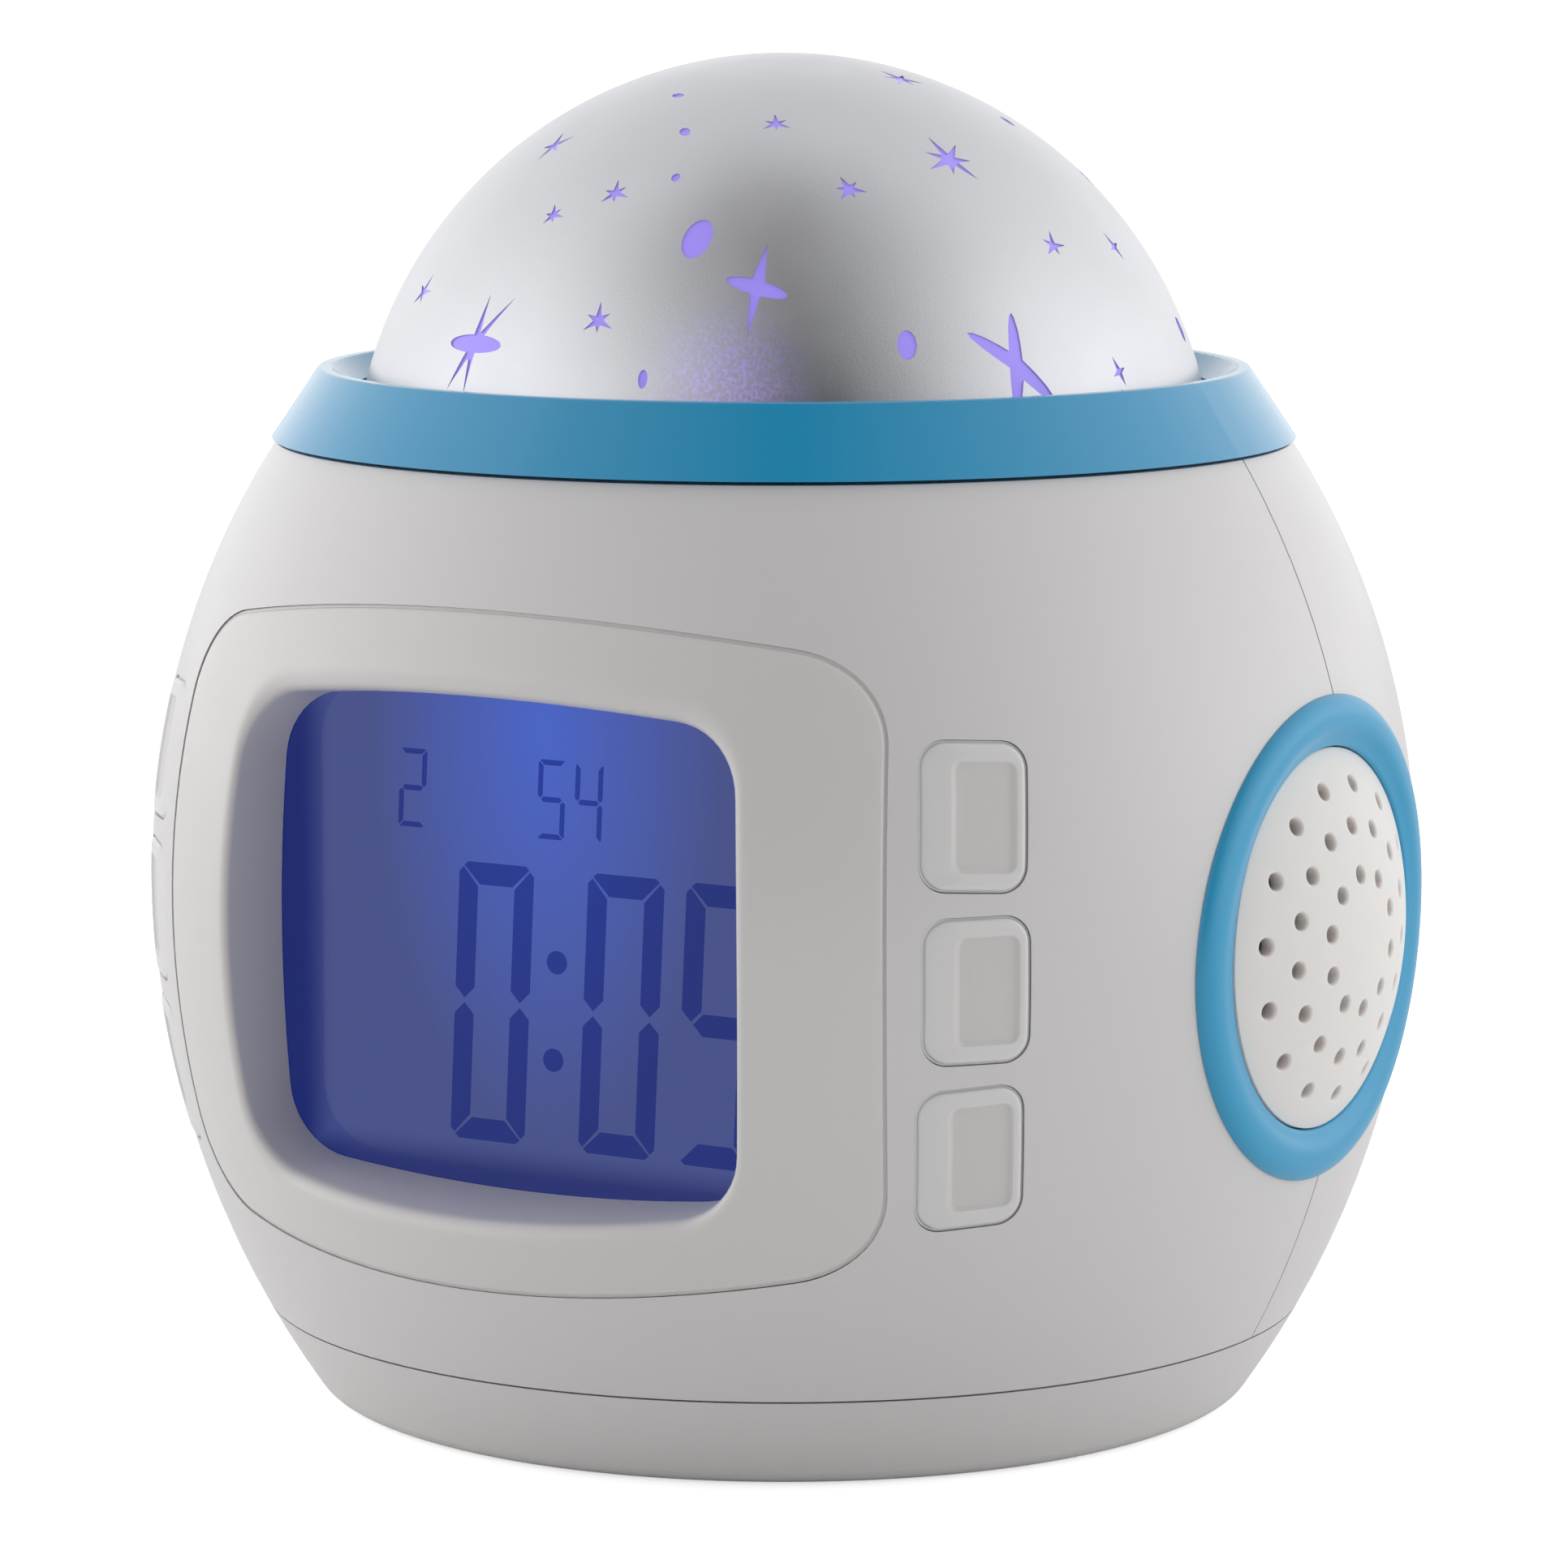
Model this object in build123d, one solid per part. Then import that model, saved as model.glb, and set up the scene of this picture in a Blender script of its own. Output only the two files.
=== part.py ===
from build123d import *
from math import asin, atan, cos, degrees, hypot, radians, sin, sqrt, tan
import os

# Star projector alarm clock: an egg-shaped housing that stands on its base, with the display at the
# front (-Y), a speaker trim on each side (+X and -X) and a star dome on top. Millimetres, +Z up,
# origin on the table under the middle of the clock's outline. The solids are worked out round the
# housing's axis and moved to the origin as they are saved.

# Housing
belly_radius = 52.0
belly_height = 42.9
upper_arc = 64.8
lower_arc = 73.5
wall = 2.2
base_seam_height = 7.7
ring_seam_rise = 35.4
parting_y = 1.2
seam_gap = 0.16
fit_gap = 0.1
cut_past = 8.0

# Base and battery compartment
base_edge_round = 2.4
stand_rim_inner = 33.0
base_recess = 1.0
base_floor = 2.0
lip_height = 2.6
lip_wall = 1.3
cell_radius = 5.2
cell_length = 44.5
cell_edge_round = 0.4
cell_nub_radius = 1.9
cell_nub_length = 0.9
cell_count = 3
cell_gap = 0.6
cell_clearance = 0.4
plate_room = 2.0
spring_room = 5.0
contact_strip = 0.4
contact_width = 6.0
contact_height = 7.2
contact_foot = 1.1
contact_nose = 1.6
box_wall = 1.5
door_ledge = 1.8
door_gap = 0.35
door_hinge_round = 0.5
door_tab_width = 7.0
door_tab_thickness = 0.9
door_tab_root = 1.0
door_tongue_width = 12.0
door_tongue_length = 8.0
door_tongue_slit = 0.8
door_grip_count = 3
door_grip_pitch = 1.7
door_grip_width = 0.8
door_grip_depth = 0.5

# Fasteners
case_screw_x = 15.0
case_screw_offset = 7.9
case_screw_radius = 1.45
case_screw_length = 9.0
case_head_rise = 1.2
screw_head_radius = 2.6
screw_head_height = 1.8
small_screw_radius = 1.0
small_screw_length = 2.6
small_head_radius = 1.9
small_head_height = 1.3
screw_clearance = 0.1
boss_wall = 1.6
rib_thickness = 1.6
case_boss_height = 10.5

# Display panel and window
window_half_width = 23.8
window_half_height = 20.3
window_centre_height = 42.0
window_side_bow = 1.2
window_top_bow = 1.6
window_corner = 6.0
window_edge_round = 1.6
window_side_taper = 1.0
window_top_taper = 0.7
funnel_wall = 1.5
bezel_side_border = 9.0
bezel_top_border = 5.9
bezel_rise = 0.35
bezel_side_bow = 1.8
bezel_top_bow = 3.4
bezel_corner = 8.0
bezel_thickness = 1.2
bezel_groove = 0.25
bezel_edge_round = 0.35

# Display stack, from the glass back to the circuit board
lcd_depth = 12.6
lcd_thickness = 1.6
lcd_border = 0.9
backlight_thickness = 2.2
backlight_margin = 0.7
lcd_frame_wall = 1.2
lcd_frame_corner = 2.0
lcd_frame_clearance = 0.15
zebra_height = 1.0
zebra_length = 34.0
pcb_thickness = 1.2
pcb_margin = 0.6
pcb_boss_offset = 2.55
pcb_boss_rise = 12.0
pcb_ear_radius = 2.6
board_corner = 1.0
chip_radius = 5.0
chip_height = 1.6
crystal_radius = 1.0
crystal_length = 6.0
crystal_spacing = 9.0

# Keys: a column of three on each side of the display
key_count = 3
key_width = 8.2
key_height = 10.9
key_corner = 1.9
key_spacing = 2.2
key_bezel_gap = 3.25
key_middle_height = 41.0
key_proud = 0.35
key_gap = 0.24
key_upright_view = 31.0
key_edge_round = 0.45
key_depth = 3.4
key_dish_width = 5.0
key_dish_height = 8.8
key_dish_depth = 0.4
key_dish_corner = 0.8
key_dish_shift = 0.75
key_tab_reach = 0.75
key_tab_width = 6.0
key_tab_thickness = 1.0
key_tab_gap = 0.35
key_stem_radius = 1.5
key_travel = 0.6
key_board_depth = 13.8
key_board_width = 9.0
key_post_gap = 0.9
switch_size = 6.0
switch_corner = 0.5
switch_height = 3.2
switch_plunger_radius = 1.7
switch_plunger_height = 0.9
switch_gap = 0.2

# Speaker trim and driver. Drops are measured inwards from the belly of the housing.
speaker_height = 41.0
speaker_ring_radius = 20.0
speaker_ring_bore = 15.5
speaker_ring_crest_drop = 1.6
speaker_ring_inner_drop = 2.5
speaker_ring_shoulder_drop = 2.8
speaker_ring_crest_inset = 1.4
speaker_ring_round = 0.5
speaker_collar_drop = 7.0
speaker_collar_wall = 1.6
grille_crown = 4.2
grille_rim_drop = 2.7
grille_skirt_drop = 5.6
grille_wall = 1.5
grille_gap = 0.12
grille_hole_radius = 0.75
grille_sink_radius = 1.15
grille_sink_depth = 0.55
grille_circles = ((10, 5.4, 18.0), (15, 9.2, 16.0), (15, 12.5, 4.0))
driver_flange = 1.2
driver_depth = 7.0
driver_wall = 0.9
driver_slope_room = 1.0
driver_throat_radius = 8.2
driver_magnet_radius = 9.0
driver_magnet_height = 4.6
driver_magnet_chamfer = 0.6
cone_mouth_radius = 13.2
cone_throat_radius = 3.6
cone_depth = 4.2
cone_wall = 0.5
cone_rim_inset = 0.6
cone_gap = 0.6
cone_cap_height = 1.4

# Dome, collar ring and lamp
ring_height = 6.0
ring_overhang = 0.35
ring_gap = 0.3
ring_lip_offset = 2.8
ring_lip_width = 1.0
ring_bore_drop = 1.7
ring_edge_round = 0.35
ring_spigot_wall = 1.63
ring_spigot_depth = 3.3
dome_centre_drop = 3.9
dome_skirt_rise = 1.0
dome_skirt_length = 0.4
dome_wall = 1.6
dome_ring_gap = 0.5
dome_flange_width = 1.8
dome_flange_thickness = 2.0
deck_thickness = 2.0
deck_ledge_thickness = 2.0
deck_ledge_reach = 2.4
deck_hole_radius = 9.0
lamp_board_radius = 14.0
lamp_board_drop = 4.5
lamp_board_thickness = 1.4
lamp_post_radius = 2.4
lamp_post_circle = 11.6
lamp_post_count = 3
led_radius = 2.5
led_height = 7.6
led_circle = 4.2
led_count = 4

# Star windows on one side of the dome: azimuth from the front towards +X, elevation, arms (0 is an
# oval), reach, width as a share of height, and turn. The other side of the dome repeats them.
star_waist = 0.2
short_arm = 0.62
star_places = (
    (-17, 22, 4, 4.2, 0.8, 4), (27, 31, 4, 3.5, 0.75, -6), (17, 38, 0, 1.85, 0.62, -12),
    (48, 23, 0, 1.2, 0.65, -6), (64, 20, 5, 3.9, 0.9, 10), (67, 51, 7, 2.9, 1.0, 8),
    (43, 46, 6, 1.5, 0.9, 20), (29, 59, 6, 1.4, 1.0, 5), (-1, 45, 6, 1.5, 0.9, 15),
    (-12, 41, 6, 1.2, 1.0, 25), (4, 26, 6, 1.6, 0.6, 5), (12, 18.5, 0, 0.75, 0.5, 0),
    (79, 36, 5, 1.5, 0.9, -20), (7, 57, 0, 0.6, 0.7, 40), (-5, 66, 0, 0.6, 0.6, 80),
    (10, 48, 0, 0.45, 0.8, 0), (-29, 53, 5, 2.0, 0.9, 30), (86, 71, 6, 2.2, 1.0, 0),
    (97, 35, 4, 1.5, 0.8, 15), (-37, 28, 5, 1.7, 0.8, -10), (83, 18, 4, 1.4, 0.8, 20),
    (110, 22, 0, 1.1, 0.65, 10), (118, 46, 6, 1.9, 0.9, 12), (106, 58, 0, 0.7, 0.7, 0),
)


def arc_at(height):
    return upper_arc if height > belly_height else lower_arc


def egg_radius(height, offset=0.0, arc=None):
    """Radius of the housing's skin, moved out by offset, at a height. arc carries on one of its arcs."""
    arc = arc or arc_at(height)
    return belly_radius - arc + sqrt((arc + offset) ** 2 - (height - belly_height) ** 2)


# The middle of the outline lies behind the housing's axis, as the window cuts the front of the egg
window_brow_height = window_centre_height + window_half_height + window_edge_round
middle_y = (belly_radius - egg_radius(window_brow_height)) / 2

# Places in the display that follow from the sizes
front_reach = belly_radius + cut_past
window_inner_half_width = window_half_width - window_side_taper
window_inner_half_height = window_half_height - window_top_taper
bezel_half_width = window_half_width + bezel_side_border
bezel_half_height = window_half_height + bezel_top_border
bezel_centre_height = window_centre_height + bezel_rise
lcd_front = belly_radius - lcd_depth
lcd_back = lcd_front - lcd_thickness
lcd_half_width = window_inner_half_width + lcd_border
lcd_half_height = window_inner_half_height + lcd_border
backlight_half_width = window_inner_half_width - backlight_margin
backlight_half_height = window_inner_half_height - backlight_margin
backlight_back = lcd_back - backlight_thickness
zebra_centre = window_centre_height - lcd_half_height + zebra_height / 2
lcd_frame_edge = lcd_frame_clearance + lcd_frame_wall
pcb_front = backlight_back - fit_gap
pcb_back = pcb_front - pcb_thickness
pcb_half_width = lcd_half_width + lcd_frame_edge + pcb_margin
pcb_half_height = lcd_half_height + lcd_frame_edge + pcb_margin
pcb_boss_x = pcb_half_width + pcb_boss_offset
pcb_boss_heights = (window_centre_height - pcb_boss_rise, window_centre_height + pcb_boss_rise)
pcb_posts = [(x, height) for x in (-pcb_boss_x, pcb_boss_x) for height in pcb_boss_heights]

# Places of the keys
key_angle = asin(bezel_half_width / belly_radius) + (key_bezel_gap + key_width / 2) / belly_radius
key_pitch = key_height + key_spacing
key_places = [(side, row) for side in (1, -1) for row in range(key_count)]
key_board_distance = belly_radius - key_board_depth
switch_top = key_board_distance + pcb_thickness + switch_height + switch_plunger_height
key_tip = switch_top + switch_gap + key_travel
key_post_radius = small_screw_radius + boss_wall
key_post_rise = key_pitch + key_height / 2 + key_tab_reach + key_post_gap + key_post_radius
key_posts = [(side, rise) for side in (1, -1) for rise in (-key_post_rise, key_post_rise)]
key_board_half_height = key_post_rise + pcb_ear_radius

# Places of the speaker trim and driver along +X
speaker_ring_crest = belly_radius - speaker_ring_crest_drop
speaker_ring_inner_edge = belly_radius - speaker_ring_inner_drop
speaker_ring_shoulder = belly_radius - speaker_ring_shoulder_drop
speaker_collar_end = belly_radius - speaker_collar_drop
speaker_collar_radius = speaker_ring_bore + speaker_collar_wall
grille_rim = belly_radius - grille_rim_drop
grille_skirt_end = belly_radius - grille_skirt_drop
grille_radius = speaker_ring_bore - grille_gap
driver_front = speaker_collar_end - fit_gap / 2
driver_throat = driver_front - driver_depth

# Places of the collar ring, dome and lamp
ring_seam_height = belly_height + ring_seam_rise
ring_low = ring_seam_height + ring_gap
ring_top = ring_seam_height + ring_height
ring_spigot_radius = egg_radius(ring_seam_height, -wall) - fit_gap
deck_radius = ring_spigot_radius - ring_spigot_wall - fit_gap
dome_radius = deck_radius - dome_flange_width
dome_centre_height = ring_seam_height - dome_centre_drop
dome_skirt_height = ring_seam_height + dome_skirt_rise
dome_flange_high = dome_skirt_height - dome_skirt_length
dome_flange_low = dome_flange_high - dome_flange_thickness
deck_low = dome_flange_low - deck_thickness
lamp_board_high = deck_low - lamp_board_drop
lamp_board_low = lamp_board_high - lamp_board_thickness
lamp_post_turns = [radians(90 + 360 / lamp_post_count * k) for k in range(lamp_post_count)]
lamp_posts = [(lamp_post_circle * cos(turn), lamp_post_circle * sin(turn)) for turn in lamp_post_turns]

# Places in the base
floor_low = base_recess
floor_high = base_recess + base_floor
cell_pitch = 2 * cell_radius + cell_gap
cell_axis_height = floor_high + cell_clearance + cell_radius
cell_shift = (spring_room - plate_room) / 2
cell_rows = [((k - (cell_count - 1) / 2) * cell_pitch, 1 if k % 2 == 0 else -1) for k in range(cell_count)]
box_half_length = (cell_length + plate_room + spring_room) / 2
box_half_width = (cell_count - 1) * cell_pitch / 2 + cell_radius + cell_clearance
box_high = cell_axis_height + cell_radius + cell_clearance
door_half_length = box_half_length - door_ledge
door_half_width = box_half_width
case_head_high = floor_high + case_head_rise
case_screw_y = box_half_width + box_wall + case_screw_offset


# Basic forms


def egg(offset, low, high, arc=None):
    """Solid of revolution inside the housing's skin, moved out by offset, between two heights."""
    across = arc is None and low < belly_height < high
    stops = [low, belly_height, high] if across else [low, high]
    edges = [Line((0, low), (egg_radius(low, offset, arc), low))]
    for start, end in zip(stops, stops[1:]):
        middle = (start + end) / 2
        points = [(egg_radius(z, offset, arc), z) for z in (start, middle, end)]
        edges.append(ThreePointArc(*points))
    edges.append(Line((egg_radius(high, offset, arc), high), (0, high)))
    edges.append(Line((0, high), (0, low)))
    return revolve(Plane.XZ * make_face(edges), axis=Axis.Z)


def ring_of(points):
    """Solid of revolution about the upright axis. Points are (radius, height)."""
    return revolve(Plane.XZ * make_face(Polyline(*points, close=True)), axis=Axis.Z)


def side_ring(points):
    """Solid of revolution about the speaker's axis. Points are (distance along +X, radius)."""
    face = make_face(Polyline(*points, close=True))
    return Pos(0, 0, speaker_height) * revolve(face, axis=Axis.X)


def tube(outer, inner, low, high):
    return ring_of([(inner, low), (outer, low), (outer, high), (inner, high)])


def post(radius, low, high, x=0.0, y=0.0):
    return Pos(x, y, low) * Cylinder(radius, high - low, align=(Align.CENTER, Align.CENTER, Align.MIN))


def block(x_span, y_span, z_span):
    """Box between two values on each axis."""
    corner = [min(span) for span in (x_span, y_span, z_span)]
    sides = [abs(span[1] - span[0]) for span in (x_span, y_span, z_span)]
    return Pos(*corner) * Box(*sides, align=(Align.MIN, Align.MIN, Align.MIN))


def slab(half_width, half_height, back, front, height=window_centre_height):
    """Upright plate that faces the front, between two distances from the axis."""
    return block((-half_width, half_width), (-front, -back), (height - half_height, height + half_height))


def tv_outline(half_width, half_height, side_bow, top_bow, corner, height):
    """Rounded picture-tube outline whose four sides bow outwards, centred at a height."""
    x = half_width - side_bow
    y = half_height - top_bow
    sides = [
        ThreePointArc((-x, y), (0, half_height), (x, y)),
        ThreePointArc((x, y), (half_width, 0), (x, -y)),
        ThreePointArc((x, -y), (0, -half_height), (-x, -y)),
        ThreePointArc((-x, -y), (-half_width, 0), (-x, y)),
    ]
    face = make_face(sides)
    return Pos(0, height) * fillet(face.vertices(), corner)


def towards_front(outline, start, end):
    """Outline pushed along -Y, from one distance in front of the axis to another."""
    return extrude(Plane.XZ.offset(start) * outline, amount=end - start)


def skin_edges(solid, offset, arc=None):
    """Edges of a solid that lie on the housing's skin moved out by offset."""
    found = []
    for edge in solid.edges():
        points = [edge.position_at(t) for t in (0.0, 0.37, 0.71, 1.0)]
        misses = [abs(hypot(p.X, p.Y) - egg_radius(p.Z, offset, arc)) for p in points]
        along_belly = all(abs(p.Z - belly_height) < 0.01 for p in points)
        if max(misses) < 0.01 and not along_belly:
            found.append(edge)
    return found


def small_screw(plane, thickness):
    """Screw through a board of that thickness; its head lies behind the plane and it points along it."""
    head = extrude(plane * Circle(small_head_radius), amount=-small_head_height)
    shank = extrude(plane * Circle(small_screw_radius), amount=thickness + small_screw_length - fit_gap)
    return head + shank


# Keys


def key_plane(side, row):
    """Plane on the housing's axis, facing out through a key. side is +1 right, -1 left; row 0 is the top."""
    angle = key_angle * side
    out = (sin(angle), -cos(angle), 0)
    along = (cos(angle), sin(angle), 0)
    height = key_middle_height + ((key_count - 1) / 2 - row) * key_pitch
    return Plane(origin=(0, 0, height), x_dir=along, z_dir=out)


def key_board_plane(side):
    """Back of the board behind a column of keys, at the height of the column's middle."""
    return key_plane(side, (key_count - 1) / 2).offset(key_board_distance)


def key_outline(side, row, grow=0.0):
    """Key's outline, turned in its plane so that its sides look upright from key_upright_view."""
    height = key_plane(side, row).origin.Z
    skin_lean = tan(asin((height - belly_height) / arc_at(height)))
    turn = atan(skin_lean * tan(key_angle - radians(key_upright_view)))
    outline = RectangleRounded(key_width + 2 * grow, key_height + 2 * grow, key_corner + grow)
    return Rot(0, 0, -side * degrees(turn)) * outline


def key_cap(side, row):
    """Key with a dished face, two retaining tabs behind the wall and a stem that meets its switch."""
    plane = key_plane(side, row)
    height = plane.origin.Z
    arc = arc_at(height)
    span = (height - key_height, height + key_height, arc)
    back = egg_radius(height) - key_depth
    body = extrude(plane.offset(back) * key_outline(side, row), amount=2 * key_depth)
    body &= egg(key_proud, *span)
    body = fillet(skin_edges(body, key_proud, arc), key_edge_round)
    dish = Pos(side * key_dish_shift, 0) * RectangleRounded(key_dish_width, key_dish_height, key_dish_corner)
    dish = extrude(plane.offset(back) * dish, amount=2 * key_depth)
    body -= dish - egg(key_proud - key_dish_depth, *span)
    tabs = Rectangle(key_tab_width, key_height + 2 * key_tab_reach)
    tabs = extrude(plane.offset(back - key_tab_thickness) * tabs, amount=2 * key_depth)
    tabs &= egg(-wall - key_tab_gap, *span)
    stem = extrude(plane.offset(key_tip) * Circle(key_stem_radius), amount=back - key_tip)
    return body + tabs + stem


def key_opening(side, row):
    outline = key_outline(side, row, key_gap)
    return extrude(key_plane(side, row).offset(key_board_distance) * outline, amount=belly_radius)


def key_board(side):
    """Narrow board behind a column of keys, with a screw hole at each end."""
    plane = key_board_plane(side)
    outline = RectangleRounded(key_board_width, 2 * key_board_half_height, board_corner)
    for rise in (key_post_rise, -key_post_rise):
        outline -= Pos(0, rise) * Circle(small_screw_radius + screw_clearance)
    return extrude(plane * outline, amount=pcb_thickness)


def key_board_post(side, rise):
    """Post from the housing's wall to a key board, with a blind screw hole."""
    plane = key_board_plane(side).offset(pcb_thickness) * Pos(0, rise)
    length = belly_radius - key_board_distance
    height = key_middle_height + rise
    solid = extrude(plane * Circle(key_post_radius), amount=length)
    solid &= egg(-wall / 2, height - length, height + length)
    return solid - extrude(plane * Circle(small_screw_radius + screw_clearance), amount=small_screw_length)


def tact_switch(side, row):
    plane = key_plane(side, row).offset(key_board_distance + pcb_thickness)
    body = extrude(plane * RectangleRounded(switch_size, switch_size, switch_corner), amount=switch_height)
    plunger = extrude(plane * Circle(switch_plunger_radius), amount=switch_height + switch_plunger_height)
    return body + plunger


# Housing halves


def deck_ledge():
    """Shelf round the inside of the housing that the lamp deck rests on."""
    outer = egg(-wall / 2, deck_low - deck_ledge_thickness, deck_low)
    return outer - post(deck_radius - deck_ledge_reach, 0, ring_top)


def case_boss(x, y):
    """Screw post under the wall, tied to the wall by a radial rib."""
    low = base_seam_height + seam_gap
    high = low + case_boss_height
    reach = hypot(x, y)
    rib_low = base_seam_height + lip_height + seam_gap
    rib = block((reach, belly_radius), (-rib_thickness / 2, rib_thickness / 2), (rib_low, high))
    turn = degrees(asin(y / reach))
    solid = post(case_screw_radius + boss_wall, low, high, x, y)
    solid += Rot(0, 0, turn if x > 0 else 180 - turn) * rib
    solid &= egg(-wall / 2, low, high)
    return solid - post(case_screw_radius + screw_clearance, low, low + case_screw_length, x, y)


def pcb_boss(x, height):
    """Post from the front wall to the main board."""
    plane = Plane.XZ.offset(pcb_front) * Pos(x, height)
    solid = extrude(plane * Circle(small_screw_radius + boss_wall), amount=front_reach - pcb_front)
    return solid & egg(-(wall + bezel_thickness) / 2, base_seam_height, ring_seam_height)


def pcb_screw_hole(x, height):
    """Blind hole for a board screw, cut once the post and the wall are one."""
    plane = Plane.XZ.offset(pcb_front) * Pos(x, height)
    return extrude(plane * Circle(small_screw_radius + screw_clearance), amount=small_screw_length)


def housing():
    """Hollow egg between the base seam and the collar ring, with its speaker holes and the deck ledge."""
    low = base_seam_height + seam_gap / 2
    shell = egg(0, low, ring_seam_height) - egg(-wall, low - wall, ring_seam_height + wall)
    shell += deck_ledge()
    bore = Cylinder(speaker_collar_radius + fit_gap, 4 * belly_radius)
    return shell - Pos(0, 0, speaker_height) * Rot(0, 90, 0) * bore


def half_space(front):
    near = parting_y + (-seam_gap / 2 if front else seam_gap / 2)
    far = -2 * belly_radius if front else 2 * belly_radius
    return block((-2 * belly_radius, 2 * belly_radius), (near, far), (0, 2 * ring_top))


def front_shell(shell):
    """Front half: a shallow pocket for the display panel, the window hole, key openings and posts."""
    pocket = towards_front(bezel_outline(bezel_groove), 0, front_reach)
    pocket -= egg(-bezel_thickness - fit_gap, base_seam_height, ring_seam_height)
    solid = shell & half_space(True)
    for x in (-case_screw_x, case_screw_x):
        solid += case_boss(x, -case_screw_y)
    for x, height in pcb_posts:
        solid += pcb_boss(x, height)
    for side, rise in key_posts:
        solid += key_board_post(side, rise)
    for x, height in pcb_posts:
        solid -= pcb_screw_hole(x, height)
    solid -= pocket
    solid -= towards_front(lcd_frame_outline(lcd_frame_clearance), pcb_back, front_reach)
    for side, row in key_places:
        solid -= key_opening(side, row)
    return solid


def rear_shell(shell):
    solid = shell & half_space(False)
    for x in (-case_screw_x, case_screw_x):
        solid += case_boss(x, case_screw_y)
    return solid


# Display


def bezel_outline(grow=0.0):
    return tv_outline(
        bezel_half_width + grow, bezel_half_height + grow, bezel_side_bow, bezel_top_bow,
        bezel_corner + grow, bezel_centre_height,
    )


def window_outline(half_width, half_height, grow):
    return tv_outline(
        half_width + grow, half_height + grow, window_side_bow, window_top_bow,
        window_corner + grow, window_centre_height,
    )


def funnel(grow):
    """Tapered tunnel from in front of the housing to the display glass."""
    share = (front_reach - lcd_front) / lcd_depth
    mouth_width = window_inner_half_width + share * window_side_taper
    mouth_height = window_inner_half_height + share * window_top_taper
    outer = window_outline(mouth_width, mouth_height, grow)
    inner = window_outline(window_inner_half_width, window_inner_half_height, grow)
    return loft([Plane.XZ.offset(lcd_front) * inner, Plane.XZ.offset(front_reach) * outer])


def display_bezel():
    """Panel that lies in the front pocket, with a tunnel that ends at the display glass."""
    plate = egg(0, base_seam_height, ring_seam_height)
    plate -= egg(-bezel_thickness, base_seam_height, ring_seam_height)
    plate &= towards_front(bezel_outline(), 0, front_reach)
    plate += funnel(funnel_wall) & egg(-bezel_thickness / 2, base_seam_height, ring_seam_height)
    plate -= funnel(0)
    mouth_half_width = window_half_width + window_edge_round
    mouth_half_height = window_half_height + window_edge_round
    mouth = []
    rim = []
    for edge in skin_edges(plate, 0):
        middle = edge.center()
        inside = abs(middle.X) < mouth_half_width and abs(middle.Z - window_centre_height) < mouth_half_height
        (mouth if inside else rim).append(edge)
    plate = fillet(rim, bezel_edge_round)
    mouth = [edge for edge in skin_edges(plate, 0) if edge.center() in [old.center() for old in mouth]]
    return fillet(mouth, window_edge_round)


def lcd_glass():
    return slab(lcd_half_width, lcd_half_height, lcd_back, lcd_front - fit_gap)


def backlight():
    return slab(backlight_half_width, backlight_half_height, backlight_back, lcd_back - fit_gap)


def zebra_strip():
    return slab(zebra_length / 2, zebra_height / 2, backlight_back, lcd_back, zebra_centre)


def lcd_frame_outline(grow=0.0):
    width = 2 * (lcd_half_width + lcd_frame_edge + grow)
    height = 2 * (lcd_half_height + lcd_frame_edge + grow)
    return Pos(0, window_centre_height) * RectangleRounded(width, height, lcd_frame_corner + grow)


def lcd_frame():
    """Frame that holds the glass in front, the light plate behind it and the contact strip below."""
    gap = lcd_frame_clearance
    solid = towards_front(lcd_frame_outline(), backlight_back, lcd_front - fit_gap)
    solid -= slab(lcd_half_width + gap, lcd_half_height + gap, lcd_back, lcd_front)
    solid -= slab(backlight_half_width + gap, backlight_half_height + gap, backlight_back, lcd_front)
    solid -= slab(zebra_length / 2 + gap, zebra_height / 2 + gap, backlight_back, lcd_front, zebra_centre)
    return solid


def main_pcb():
    """Board behind the display, with four ears that sit on the front shell's posts."""
    outline = RectangleRounded(2 * pcb_half_width, 2 * pcb_half_height, board_corner)
    outline = Pos(0, window_centre_height) * outline
    for height in pcb_boss_heights:
        outline += Pos(0, height) * Rectangle(2 * pcb_boss_x, 2 * pcb_ear_radius)
    for x, height in pcb_posts:
        outline += Pos(x, height) * Circle(pcb_ear_radius)
        outline -= Pos(x, height) * Circle(small_screw_radius + screw_clearance)
    return extrude(Plane.XZ.offset(pcb_back) * outline, amount=pcb_thickness)


def pcb_screws():
    plane = Plane.XZ.offset(pcb_back)
    return [small_screw(plane * Pos(x, height), pcb_thickness) for x, height in pcb_posts]


def controller_chip():
    """Low dome of potting over the bonded chip on the back of the board."""
    ball = (chip_radius ** 2 + chip_height ** 2) / (2 * chip_height)
    dome = Pos(0, -pcb_back - ball + chip_height, window_centre_height) * Sphere(ball)
    return dome & slab(2 * chip_radius, 2 * chip_radius, pcb_back - chip_height, pcb_back)


def clock_crystal():
    can = Cylinder(crystal_radius, crystal_length)
    return Pos(crystal_spacing, crystal_radius - pcb_back, window_centre_height) * can


# Speaker trim and driver


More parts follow.
